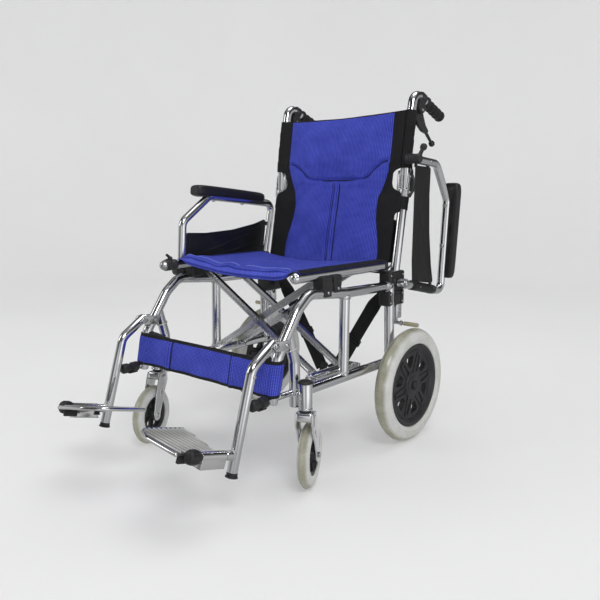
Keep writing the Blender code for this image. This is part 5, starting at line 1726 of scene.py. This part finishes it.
def seat_layers(middle, wrapped):
    """Top and bottom of the cloth: a pad in the blue, a single layer in the hem."""
    x = middle[..., 0]
    row = np.repeat(SEAT_ROWS[:, None], middle.shape[1], 1)
    depth = row * SEAT_DEPTH
    inside = np.minimum((1 - row) * SEAT_CLOTH, np.maximum(SEAT_BLUE_X - np.abs(x), 0))
    roll = np.sqrt(np.clip(1 - (1 - np.clip(depth / 0.0065, 0, 1)) ** 2, 0, 1))
    thick = (0.0068 + 0.0050 * np.exp(-(depth / 0.022) ** 2)) * roll
    # groove behind the front roll, and the roll's own swell
    thick -= 0.0055 * np.exp(-((depth - 0.0270 - 0.005 * np.sin(x * 17)) / 0.0050) ** 2)
    thick += 0.0016 * np.exp(-((depth - 0.0085) / 0.005) ** 2)
    sides = 1 - np.exp(-np.maximum(inside - 0.002, 0) / 0.008)
    thick = 0.0016 + np.minimum(thick, 0.0135) * sides
    fold = seat_fold(x, depth)
    fold[:, wrapped] = 0
    crown = np.exp(-(depth / 0.030) ** 2) * roll * np.clip((0.200 - np.abs(x)) / 0.05, 0, 1)
    wave = 0.0078 + 0.0030 * np.sin(x * 38 + 0.9) + 0.0014 * np.sin(x * 71 + 2.0)
    top, bottom = middle.copy(), middle.copy()
    top[..., 2] += fold + thick * 0.5 + crown * wave
    top[..., 1] -= crown * 0.0030
    bottom[..., 2] += fold * (1 - 0.7 * np.exp(-(depth / 0.02) ** 2)) - thick * 0.9
    # round the rails the layers stand square to the tube
    around = middle[:, wrapped]
    normal = around.copy()
    normal[..., 0] -= np.sign(normal[..., 0]) * RAIL_X
    normal[..., 1] = 0
    normal[..., 2] -= RAIL_Z
    normal /= np.linalg.norm(normal, axis=-1, keepdims=True)
    top[:, wrapped] = around + normal * 0.0008
    bottom[:, wrapped] = around - normal * 0.0009
    top[..., 1] += AXLE_Y
    bottom[..., 1] += AXLE_Y
    return top, bottom


def blend_seat(made, side):
    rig.blend(made, cross_body(side), "seat_sling_" + side.name,
             side.at(0.206, -0.25, RAIL_Z), side.at(0.176, -0.25, RAIL_Z))


def seat_stitching(side, top):
    """Painted highlight along the front lip as a lighter blue tube, and two stitched lines on the hem."""
    part = Piece("thread", "pipe")
    lip_row = half_of(side, top)[9]
    if side.sign < 0:
        lip_row = lip_row[::-1]
    # painted highlight: a lighter blue tube along the crest of the front lip
    part.tube([Vector(point) + Vector((0, -0.0008, 0.001)) for point in lip_row
               if abs(point[0]) < 0.196], 0.0017, 10, mat="pipe")
    row = np.linspace(0.01, 0.99, 40)
    for x in (0.2005, 0.2040):
        line = seat_flat(side.sign * x, row)
        line[:, 1] += seat_skew(side.sign * x, row) + AXLE_Y
        line[:, 2] += 0.0016
        part.stitches(line)
    blend_seat(part.done(side, "seat_stitching", "black_nylon"), side)


def seat():
    """Both halves of the seat from one simulated cloth, split on the centre line."""
    middle = seat_middle()
    columns = np.arange(SEAT_HALF)
    hem = both_ways(columns >= 36)
    wrapped = both_ways(columns >= len(SEAT_FLAT_X))
    centre = SEAT_HALF - 1
    top, bottom = seat_layers(middle, wrapped)
    row = SEAT_ROWS[:, None]
    edge = np.minimum(np.minimum(row, 1 - row) * SEAT_CLOTH,
                      np.maximum(SEAT_BLUE_X - np.abs(middle[..., 0]), 0))
    top, bottom = inflate(top, bottom, (edge < 0.0035) | hem, pressure=4.0, frames=14,
                          cap=0.0032)
    # cloth coordinate across: arc length measured along one row
    steps = np.linalg.norm(np.diff(middle[30], axis=0), axis=1)
    across = np.concatenate([[0], np.cumsum(steps)])
    across -= across[centre]
    uv = np.stack(np.broadcast_arrays(across, row * SEAT_CLOTH), -1)
    # black cells: the left hem with its wrap, only the wrap on the right, and the rear rows
    black = hem[:-1] | hem[1:]
    black[:centre] = (wrapped[:-1] & wrapped[1:])[:centre]
    over = black | (row[:-1] >= 0.974)
    under = black | (row[:-1] >= 0.0134)
    for side in SIDES:
        made = pad_object(side, "seat_cover", ("blue", "nylon"), half_of(side, top),
                          half_of(side, bottom), half_of(side, uv), half_of(side, over),
                          half_of(side, under), 0)
        register(made, side, "blue_mesh", replaces="seat")
        blend_seat(made, side)
    for side in SIDES:
        seat_stitching(side, top)


# -------------------------------------------------------------------- backrest
BACK_LOW, BACK_HIGH = 0.4400, 0.8585
BACK_ROWS = np.concatenate([np.linspace(BACK_LOW, 0.6700, 52), np.linspace(0.6726, 0.7420, 28),
                            np.linspace(0.7460, BACK_HIGH, 28)])
# height and y of the post's centre line
POST_LINE = ((0.402, -0.022), (0.594, 0.013), (0.655, 0.0262), (0.6605, 0.0275),
             (0.735, 0.0305), (0.855, 0.049), (0.905, 0.062))
# height and half width of the blue cloth, then of the whole cover
BLUE_EDGE = ((0.44, 0.162), (0.46, 0.162), (0.49, 0.162), (0.52, 0.159), (0.55, 0.151),
             (0.58, 0.144), (0.6, 0.1415), (0.615, 0.141), (0.635, 0.143), (0.65, 0.148),
             (0.665, 0.156), (0.68, 0.162), (0.703, 0.17), (0.736, 0.1745), (0.775, 0.175),
             (0.82, 0.1745), (0.86, 0.174))
COVER_EDGE = ((0.44, 0.202), (0.47, 0.215), (0.596, 0.217), (0.65, 0.217), (0.6545, 0.2),
              (0.662, 0.186), (0.674, 0.183), (0.7, 0.185), (0.708, 0.194), (0.712, 0.209),
              (0.857, 0.209))
# sewn channel across the back, x and z from the centre to the left edge
CHANNEL = [(0.0, 0.6832), (0.05, 0.684), (0.092, 0.687), (0.11, 0.696), (0.128, 0.713),
           (0.15, 0.728), (0.172, 0.733)]
# columns of one half, as parts of the blue width and of the black wing
BLUE_COLUMNS = [0.0, 0.016, 0.03, 0.04, 0.046, 0.051, 0.056, 0.061, 0.066, 0.071, 0.078, 0.088,
                0.1] + [0.1 + 0.9 * k / 42 for k in range(1, 43)]
WING_COLUMNS = [k / 10 for k in range(1, 11)]


def post_y(z):
    return np.interp(z, *zip(*POST_LINE))


def back_y(x, z):
    """Middle surface of the back, hollow between the posts."""
    sag = 0.0110 - 0.004 * smoothstep(0.75, 0.86, z)
    return post_y(z) - 0.0152 + sag * (1 - (x / 0.217) ** 2)


def on_back(x, z, lift):
    """A point just in front of the back's flat surface."""
    return Vector((x, back_y(x, z) + AXLE_Y - 0.0016 - lift, z))


def blue_edge(z):
    """Half width of the blue cloth, with the corners of its table rounded."""
    offsets = (-0.008, -0.004, 0.0, 0.004, 0.008)
    return sum(np.interp(z + offset, *zip(*BLUE_EDGE)) for offset in offsets) / len(offsets)


def back_puff(x, z, edge, channel, lines):
    """How far the pad stands forward of its middle surface."""
    puff = 0.0070 * (1 - np.exp(-edge / 0.010))
    puff *= 1 - np.exp(-(channel / 0.0044) ** 2)
    puff *= 1 - np.exp(-(lines / 0.0030) ** 2)
    # a low ridge up the centre, below the channel; a faint groove above it
    puff += 0.0020 * np.exp(-(x / 0.0050) ** 2) * smoothstep(0.682, 0.668, z)
    centre = line_distance(x, z, [(0.0, 0.700), (0.0, 0.858)])
    puff *= 1 - 0.25 * np.exp(-(centre / 0.0024) ** 2)
    puff += 0.0016 * np.exp(-((channel - 0.011) / 0.006) ** 2)
    return puff


def back_creases(x, z, edge):
    """Soft wrinkles, and tension folds from the waist towards the channel's corners."""
    soft = 0.0018 * wrinkle(x, z, seed=11, scale=0.10) + 0.0008 * wrinkle(x, z, seed=23, scale=0.045)
    soft *= np.clip(edge / 0.012, 0, 1)
    wide = np.abs(x)
    low_line = (wide * 0.62 + (z - 0.60) * 0.78 - 0.118) / 0.010
    high_line = (wide * 0.75 - (z - 0.70) * 0.66 - 0.045) / 0.012
    soft += 0.0026 * np.exp(-low_line ** 2) * np.exp(-((z - 0.645) / 0.04) ** 2)
    soft += 0.0024 * np.exp(-high_line ** 2) * np.exp(-((z - 0.735) / 0.035) ** 2)
    return soft


def blend_back(made, side):
    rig.blend(made, "back_lower_sling_" + side.name, "back_upper_sling_" + side.name,
             Vector((0, 0.047 + AXLE_Y, 0.645)), Vector((0, 0.047 + AXLE_Y, 0.695)))


def back_cover():
    """Both halves of the back from one simulated cloth, split on the centre line."""
    rows = BACK_ROWS[:, None]
    blue_x = blue_edge(BACK_ROWS)
    wing_x = np.interp(BACK_ROWS, *zip(*COVER_EDGE)) - blue_x
    half_x = np.concatenate([np.outer(blue_x, BLUE_COLUMNS),
                             blue_x[:, None] + np.outer(wing_x, WING_COLUMNS)], 1)
    y = back_y(half_x, rows)
    y = np.concatenate([y[:, :0:-1], y], 1)
    # the lower part of the left wing is drawn in
    drawn = smoothstep(0.604, 0.594, rows) * np.clip((half_x - 0.175) / 0.03, 0, 1)
    x = np.concatenate([-half_x[:, :0:-1], half_x - drawn * 0.0125], 1)
    # the top edge dips slightly
    z = rows - 0.004 * (1 - (x / 0.2) ** 2) * smoothstep(0.80, 0.858, rows)
    blue = both_ways(np.arange(half_x.shape[1]) < len(BLUE_COLUMNS))
    inside = np.maximum(blue_x[:, None] - np.abs(x), 0)
    edge = np.minimum(np.minimum(inside, BACK_HIGH - z), z - BACK_LOW)
    channel = line_distance(x, z, [(-cx, cz) for cx, cz in CHANNEL[:0:-1]] + CHANNEL)
    lines = np.minimum(*[line_distance(x, z, [(way * 0.0095, 0.4575), (way * 0.0092, 0.6740)])
                         for way in (-1, 1)])
    puff = back_puff(x, z, edge, channel, lines)
    front = grid(x, y + AXLE_Y - 0.0016 - puff - back_creases(x, z, edge), z)
    back = grid(x, y + AXLE_Y + 0.0016 + puff * 0.45, z)
    pinned = (channel < 0.0034) | (lines < 0.0026) | (edge < 0.0035) | ~blue
    front, back = inflate(front, back, pinned, pressure=5.5, frames=16, cap=0.0050)
    uv = np.stack([x, z], -1)
    black = ~(blue[:-1] & blue[1:]) | (rows[:-1] > BACK_HIGH - 0.0045)
    black |= rows[:-1] < BACK_LOW + 0.0030
    for side in SIDES:
        cells = half_of(side, black)
        made = pad_object(side, "back_cover", ("blue", "nylon"), half_of(side, front),
                          half_of(side, back), half_of(side, uv), cells, np.ones_like(cells), 1)
        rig.slot(made, "blue_mesh")
        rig.replaces(made, "back_lower_" + side.name, "back_upper_" + side.name)
        blend_back(made, side)


def back_stitching(side):
    """Seam threads along the channel, the centre line and the joint with the black wings; a dark tube lies in the
    channel and in the centre seam as painted shade of their grooves.
    """
    part = Piece("thread")
    fine = []
    for (x0, z0), (x1, z1) in zip(CHANNEL, CHANNEL[1:]):
        fine += [(x0 + (x1 - x0) * k / 4, z0 + (z1 - z0) * k / 4) for k in range(4)]
    line = [on_back(side.sign * x, z, 0.0006) for x, z in fine if x < 0.168]
    # painted shade: a dark tube in the channel's groove
    part.tube(line, 0.0015, 8, 0.02, 4)
    part.stitches([point - Vector((0, 0.001, 0)) for point in line])
    line = [on_back(side.sign * 0.0093, z, 0.0018) for z in np.linspace(0.445, 0.673, 26)]
    # painted shade: a dark tube in the centre seam's groove
    part.tube(line, 0.0015, 8)
    part.stitches([point - Vector((0, 0.0007, 0)) for point in line])
    edge = blue_edge(BACK_ROWS)
    for offset in (0.0025, 0.0060):
        part.stitches([on_back(side.sign * (np.interp(z, BACK_ROWS, edge) + offset), z, 0.0003)
                       for z in np.linspace(0.444, 0.855, 52)])
    blend_back(part.done(side, "back_stitching", "black_nylon"), side)


def rear_pouch(side):
    """Pouch on the rear face of the back."""
    across, up = np.linspace(0.0, 1.0, 26)[None], np.linspace(0.0, 1.0, 20)[:, None]
    x, z = 0.0005 + 0.2000 * across, 0.4680 + 0.1120 * up
    full = (1 - np.abs(2 * up - 1) ** 6) * (1 - across ** 26)
    deep = 0.0050 + (0.0190 + 0.0040 * np.sin(across * 2.6)) * full
    deep += 0.0014 * np.sin(across * 21 + up * 4) * full
    y = back_y(x, z) + 0.0062 + 0.0060 * smoothstep(0.62, 1.0, across) + AXLE_Y
    near = grid(side.sign * x, y, z)
    far = grid(side.sign * x, y + deep, z + 0.004 * full)
    if side.sign < 0:
        near, far = near[:, ::-1], far[:, ::-1]
    slots = np.zeros((19, 25), int)
    made = pad_object(side, "rear_pouch", ("nylon",), near, far, near[..., [0, 2]], slots,
                      slots, 0)
    register(made, side, "black_nylon", body="back_lower_sling")


def post_sleeves(side):
    """Cloth sleeve round the upper post and a strap round the lower one."""
    def post(low, high, count):
        return [side.at(RAIL_X, post_y(z), z) for z in np.linspace(low, high, count)]

    sleeve = Piece("nylon")
    sleeve.tube(post(0.7120, 0.8570, 18),
                lambda run: 0.0146 + 0.0005 * math.sin(run * 19) + 0.0004 * math.sin(run * 43 + 1),
                40, dome=0.04)
    sleeve.done(side, "post_sleeve", "black_nylon", body="back_upper")
    strap = Piece("webbing")
    strap.tube(post(0.6050, 0.6500, 8), lambda run: 0.0136 + 0.0003 * math.sin(run * 15), 40,
               dome=0.04)
    strap.done(side, "post_strap", "black_nylon", body="frame")


# ------------------------------------------------------------------ calf strap
CALF_AXIS_Y, CALF_AXIS_Z = -0.4835, 0.2650      # down-tube at the strap's mid height
CALF_SLOPE = Vector((0.0, 0.209, 0.978)).normalized()
CALF_HALF = 0.0385
CALF_ROWS = np.concatenate([[-CALF_HALF, -0.037, -0.034, -0.032], np.linspace(-0.028, 0.028, 14),
                            [0.032, 0.034, 0.037, CALF_HALF]])
CALF_BLACK_ROWS = np.abs(CALF_ROWS[:-1] + 0.0001) > 0.032      # bound edges


def calf_line(height):
    """y and z of the down-tube's centre at a height along the strap."""
    return CALF_AXIS_Y + AXLE_Y + CALF_SLOPE.y * height, CALF_AXIS_Z + CALF_SLOPE.z * height


def calf_bow(x):
    return 0.0060 * (1 - (x / FRAME_X) ** 2)


def calf_strap(side, seam_x):
    """One half of the strap, from the centre line to the down-tube."""
    x, height = np.linspace(0.0, 0.2180, 96)[None], CALF_ROWS[:, None]
    edge = CALF_HALF - np.abs(height)
    bulge = 0.0030 * (1 - np.exp(-np.maximum(edge - 0.0055, 0) / 0.006))
    bulge = bulge * (1 - 0.8 * np.exp(-((x - seam_x) / 0.0026) ** 2))
    ripple = 0.0012 * np.sin(x * 61 + height * 40) * np.sin(height * 55 + 1.0)
    # swell outside the seam, dip inside it, and a ridge near the tube
    ripple += 0.0036 * np.exp(-((x - seam_x - 0.0072) / 0.0046) ** 2)
    ripple -= 0.0012 * np.exp(-((x - seam_x + 0.004) / 0.004) ** 2)
    ripple += 0.0022 * np.exp(-((x - 0.196) / 0.004) ** 2)
    front_depth = 0.0162 + bulge + ripple - calf_bow(x)
    drawn = 0.0285 * smoothstep(seam_x, FRAME_X, x)
    back_depth = 0.0135 - drawn - calf_bow(x) - bulge * 0.5
    back_depth = np.minimum(back_depth, front_depth - 0.0030)
    y, z = calf_line(height)
    front = grid(side.sign * x, y - front_depth, z)
    back = grid(side.sign * x, y - back_depth, z)
    if side.sign < 0:
        front, back = front[:, ::-1], back[:, ::-1]
    uv = np.stack(np.broadcast_arrays(front[..., 0], height), -1)
    slots = np.repeat(CALF_BLACK_ROWS[:, None], 95, 1)
    made = pad_object(side, "calf_strap_cover", ("blue", "webbing"), front, back, uv, slots,
                      slots, 1)
    register(made, side, "blue_mesh", body="calf_sling", replaces="calf_strap")


def calf_loop(side, around=40):
    """The strap's loop round the down-tube."""
    rings, uvs = [], []
    for height in CALF_ROWS:
        y, z = calf_line(height)
        swell = 1 - math.exp(-max(CALF_HALF - abs(height) - 0.005, 0) / 0.005)
        ring = []
        for k in range(around):
            turn = 2 * math.pi * k / around
            radius = 0.0158 + 0.0012 * swell + 0.0004 * math.sin(3 * turn + height * 90)
            ring.append(Vector((side.sign * FRAME_X + radius * math.cos(turn),
                                y + radius * math.sin(turn), z)))
            uvs.append((turn * 0.0158, height))
        rings.append(ring)
    slots = [int(black) for black in CALF_BLACK_ROWS for _ in range(around)] + [1, 1]
    part = Piece("blue", "webbing")
    part.add(*skin(rings, flip=True), slots, uvs)
    part.done(side, "calf_strap_loop", "blue_mesh", body="frame", smooth=50)


def calf_stitching(side, seam_x):
    """A dark tube in the seam as painted shade of its groove, a stitched line on each side of it and one along each
    edge.
    """
    def at(x, height, depth):
        y, z = calf_line(height)
        return Vector((side.sign * x, y - depth, z))

    part = Piece("thread")
    bow = calf_bow(seam_x)
    # painted shade: a dark tube of thread colour along the seam's groove
    part.tube([at(seam_x, height, 0.0164 - bow) for height in np.linspace(-0.033, 0.033, 12)],
              0.0021, 8)
    for offset in (-0.0016, 0.0016):
        part.stitches([at(seam_x + offset, height, 0.0168 - bow)
                       for height in np.linspace(-0.031, 0.031, 12)])
    for height in (-0.0312, 0.0312):
        part.stitches([at(x, height, 0.0168 - calf_bow(x))
                       for x in np.linspace(0.004, 0.205, 30)])
    part.done(side, "calf_stitching", "black_nylon", body="calf_sling")


# -------------------------------------------------------------------- lap belt
def belt(side):
    """A hanging strap with a doubled end and slider, then its half of the buckle."""
    sign = side.sign
    top, low = side.at(0.186, -0.012, 0.405), side.at(0.026, -0.012, 0.15)
    points = []
    for i in range(36):
        sag = 0.006 * math.sin(math.pi * i / 35)
        points.append(top.lerp(low, i / 35) - Vector((sign * sag, 0, sag)))
    across = Vector((0, 1, 0))
    flat = (low - top).normalized().cross(across)

    def width_at(part):
        """Fore and aft at the frame, then turned to face forward."""
        turn = math.radians(80) * smoothstep(0.02, 0.30, part)
        return across * math.cos(turn) + flat * math.sin(turn)

    strap = Piece("webbing", "gloss")
    strap.ribbon(points, 0.0185, 0.0018, width_at)
    strap.ribbon([point - Vector((0, 0.0024, 0)) for point in points[22:]], 0.0185, 0.0016,
                 lambda part: width_at(1.0))
    along = (points[22] - points[20]).normalized()
    wide = width_at(1.0)
    wide = (wide - along * wide.dot(along)).normalized()
    strap.plate([soft_box(-0.0225, -0.010, 0.0225, 0.010, 0.003),
                 soft_box(-0.0190, -0.0065, 0.0190, -0.0020, 0.001),
                 soft_box(-0.0190, 0.0020, 0.0190, 0.0065, 0.001)], 0.006,
                from_axes(wide, along, along.cross(wide), points[21]), 0.0012, mat="gloss")
    strap.done(side, "lap_belt_webbing", "black_nylon", body="belt", replaces="lap_belt")

    along = Vector((-sign, 0, -0.25)).normalized()
    wide = across.cross(along)
    place = from_axes(wide, along, along.cross(wide), points[-1])
    buckle = Piece("gloss")
    if sign > 0:
        socket = [(-0.0185, -0.004), (0.0185, -0.004), (0.0205, 0.012), (0.0165, 0.025),
                  (-0.0165, 0.025), (-0.0205, 0.012)]
        buckle.plate([soft_loop(socket, 0.004)], 0.011, place, 0.0026, 3)
    else:
        buckle.plate([soft_box(-0.0185, -0.006, 0.0185, 0.016, 0.003)], 0.009, place, 0.0022, 3)
        for x in (-0.0125, 0.0125):
            prong = [(x - 0.003, 0.014), (x + 0.003, 0.014), (x + 0.0022, 0.024),
                     (x - 0.0022, 0.024)]
            buckle.plate([soft_loop(prong, 0.0015)], 0.005, place, 0.0012)
    buckle.done(side, "belt_buckle", "black_plastic", body="belt")


# ----------------------------------------------------------------- the studio
# Surroundings seen by polished metal, as (position, brightness)
ROOM_STRIPS = (      # position: once round the horizon
    (0.0, 0.62), (0.083, 0.5), (0.148, 0.16), (0.236, 0.1), (0.272, 0.5), (0.322, 0.85),
    (0.361, 0.34), (0.403, 0.5), (0.455, 1.3), (0.515, 1.05), (0.56, 0.5), (0.615, 0.52),
    (0.655, 0.34), (0.71, 0.3), (0.778, 0.7), (0.861, 0.8), (0.931, 0.3), (1.0, 0.62))
ROOM_GAIN = (        # position: straight down to straight up
    (0.0, 0.5), (0.2, 0.55), (0.34, 0.75), (0.44, 1.0), (0.55, 1.0), (0.63, 0.55),
    (0.7, 0.09), (0.8, 0.04), (0.9, 0.3), (0.95, 0.55), (1.0, 0.25))
ROOM_KEEP = (        # how much of the strips shows, down to up
    (0.0, 0.0), (0.22, 0.25), (0.36, 0.9), (0.44, 1.0), (0.8, 1.0), (1.0, 0.0))
BACKDROP_GREY = 0.715
LIGHTS = (           # name, place, target, size, watts
    ("key", (2.6, -1.9, 3.3), (0, 0, 0.45), (1.4, 1.4), 53),
    ("fill", (-2.5, -2.7, 2.2), (0, 0, 0.5), (1.6, 1.8), 21),
    ("top", (0.3, 0.7, 4.4), (0, 0.1, 0), (2.4, 2.4), 35))


def mirror_room(look, direction):
    """Soft boxes, dark gaps between them, a dark ceiling and a pale floor."""
    def greys(source, table):
        return look.ramp(source, [(place, (grey, grey, grey * 1.01)) for place, grey in table])

    parts = look.split(direction)
    azimuth = look.calc("ARCTAN2", parts["Y"], parts["X"])
    cloud = look.noise(direction, scale=2.2, detail=2.0)
    wobble = look.times(look.calc("SUBTRACT", cloud, 0.5), 0.55)
    turn = look.remap(look.add(azimuth, wobble), span=(-math.pi, math.pi))
    strips = greys(turn, ROOM_STRIPS)
    height = look.remap(parts["Z"], span=(-1.0, 1.0))
    gain = greys(height, ROOM_GAIN)
    keep = greys(height, ROOM_KEEP)
    mixed = look.mix(keep, (0.75, 0.75, 0.76, 1.0), strips)
    return look.mix(1.0, mixed, gain, blend="MULTIPLY")


def paper():
    """Matt paper that glossy rays see as the mirror room."""
    look = Surface("paper_floor")
    big = look.noise(look.place(), scale=1.1)
    look.paint(Base_Color=look.ramp(big, [(0.3, (0.70, 0.70, 0.70)), (0.7, (0.72, 0.72, 0.722))]),
               Roughness=1.0, Specular_IOR_Level=0.0, Emission_Color=(1, 1, 1, 1),
               Emission_Strength=0.183)
    glossy = look.node("LightPath").outputs["Is Glossy Ray"]
    incoming = look.node("NewGeometry").outputs["Incoming"]
    outward = look.node("VectorMath", {"operation": "SCALE"}, Vector=incoming, Scale=-1.0)
    seen = look.node("Emission", Color=mirror_room(look, outward.outputs[0]))
    swap = look.node("MixShader")
    for socket, source in zip(swap.inputs, (glossy, look.principled.outputs[0], seen.outputs[0])):
        look.feed(socket, source)
    look.fill(look.tree.nodes["Material Output"], Surface=swap.outputs[0])
    return look.material


def backdrop(around=96, sweep=1.2, flat_edge=3.4, sink=0.0005):
    """Floor that sweeps up into a round backdrop, a little below the wheels."""
    profile = [(0.6, 0.0), (1.2, 0.0), (1.8, 0.0), (2.4, 0.0), (3.0, 0.0), (flat_edge, 0.0)]
    for i in range(1, 13):
        turn = math.pi / 2 * i / 12
        profile.append((flat_edge + sweep * math.sin(turn), sweep - sweep * math.cos(turn)))
    wall = flat_edge + sweep
    profile += [(wall, 2.4), (wall, 4.0), (wall, 6.0)]
    rings = [[(0.0, 0.0, -sink)]]
    rings += [[(x, y, z - sink) for x, y in circle(radius, around)] for radius, z in profile]
    points, faces = skin(rings, caps=False)
    material = paper()
    mesh = bpy.data.meshes.new("backdrop")
    mesh.from_pydata(points, [], faces)
    mesh.materials.append(material)
    mesh.shade_smooth()
    made = bpy.data.objects.new("backdrop", mesh)
    bpy.context.scene.collection.objects.link(made)
    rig.stage(made)


def studio_world():
    """The camera sees pale grey, glossy rays the mirror room, all others a dim grey."""
    world = bpy.data.worlds.new("studio")
    bpy.context.scene.world = world
    world.use_nodes = True
    look = Shader(world.node_tree)
    direction = look.node("TexCoord").outputs["Generated"]
    rays = look.node("LightPath").outputs
    room = mirror_room(look, direction)
    lit = look.mix(rays["Is Glossy Ray"], (0.30, 0.30, 0.306, 1.0), room)
    pale = (BACKDROP_GREY, BACKDROP_GREY, BACKDROP_GREY, 1.0)
    look.fill(look.tree.nodes["Background"], Color=look.mix(rays["Is Camera Ray"], lit, pale),
              Strength=1.0)


def area_light(name, place, target, size, watts):
    light = bpy.data.lights.new(name, "AREA")
    light.shape = "RECTANGLE"
    light.size, light.size_y = size
    light.energy = watts
    made = bpy.data.objects.new(name, light)
    bpy.context.scene.collection.objects.link(made)
    made.location = place
    made.rotation_mode = "QUATERNION"
    made.rotation_quaternion = (Vector(target) - Vector(place)).to_track_quat("-Z", "Y")


def camera():
    """View from the front left, looking slightly down."""
    yaw, pitch, roll = math.radians(40.5), math.radians(9.16), math.radians(-0.14)
    forward = Vector((-math.sin(yaw) * math.cos(pitch), math.cos(yaw) * math.cos(pitch),
                      -math.sin(pitch)))
    level = Vector((math.cos(yaw), math.sin(yaw), 0))
    upward = level.cross(forward)
    right = level * math.cos(roll) + upward * math.sin(roll)
    up = -level * math.sin(roll) + upward * math.cos(roll)
    lens = bpy.data.cameras.new("camera")
    lens.sensor_width = 36.0
    lens.lens = 38.502
    made = bpy.data.objects.new("camera", lens)
    bpy.context.scene.collection.objects.link(made)
    made.matrix_world = from_axes(right, up, -forward, (1.104, -1.434 + AXLE_Y, 0.640))
    bpy.context.scene.camera = made


for chair_side in SIDES:
    for make in (frame_tubes, frame_plugs, back_post, back_hinge, post_clamp, seat_saddle,
                 rear_axle, upper_post, hand_grip, brake_housing, brake_lever, release_lever,
                 brake_pin, brake_cable, rear_tyre, rear_rim, castor_fork, castor_wheel,
                 hanger_tube, hanger_caps, footplate, footplate_corner, cross_brace):
        make(chair_side)
    if chair_side.sign > 0:
        cross_bolts()
    for make in (armrest_frame, armrest_cushion, armrest_panel, armrest_lock):
        make(chair_side)
seat()
back_cover()
for chair_side in SIDES:
    back_stitching(chair_side)
    rear_pouch(chair_side)
    post_sleeves(chair_side)
for chair_side, calf_seam_x in zip(SIDES, (0.100, 0.104)):
    calf_strap(chair_side, calf_seam_x)
    calf_loop(chair_side)
    calf_stitching(chair_side, calf_seam_x)
for chair_side in SIDES:
    belt(chair_side)

backdrop()
studio_world()
for light_row in LIGHTS:
    area_light(*light_row)
camera()
bpy.context.scene.view_settings.view_transform = "Standard"
VISUAL_LOW, VISUAL_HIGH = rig.bounds()
with open("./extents.json", "w") as size_file:
    json.dump({"cad": [list(CAD_LOW), list(CAD_HIGH)],
               "visual": [list(VISUAL_LOW), list(VISUAL_HIGH)]}, size_file)
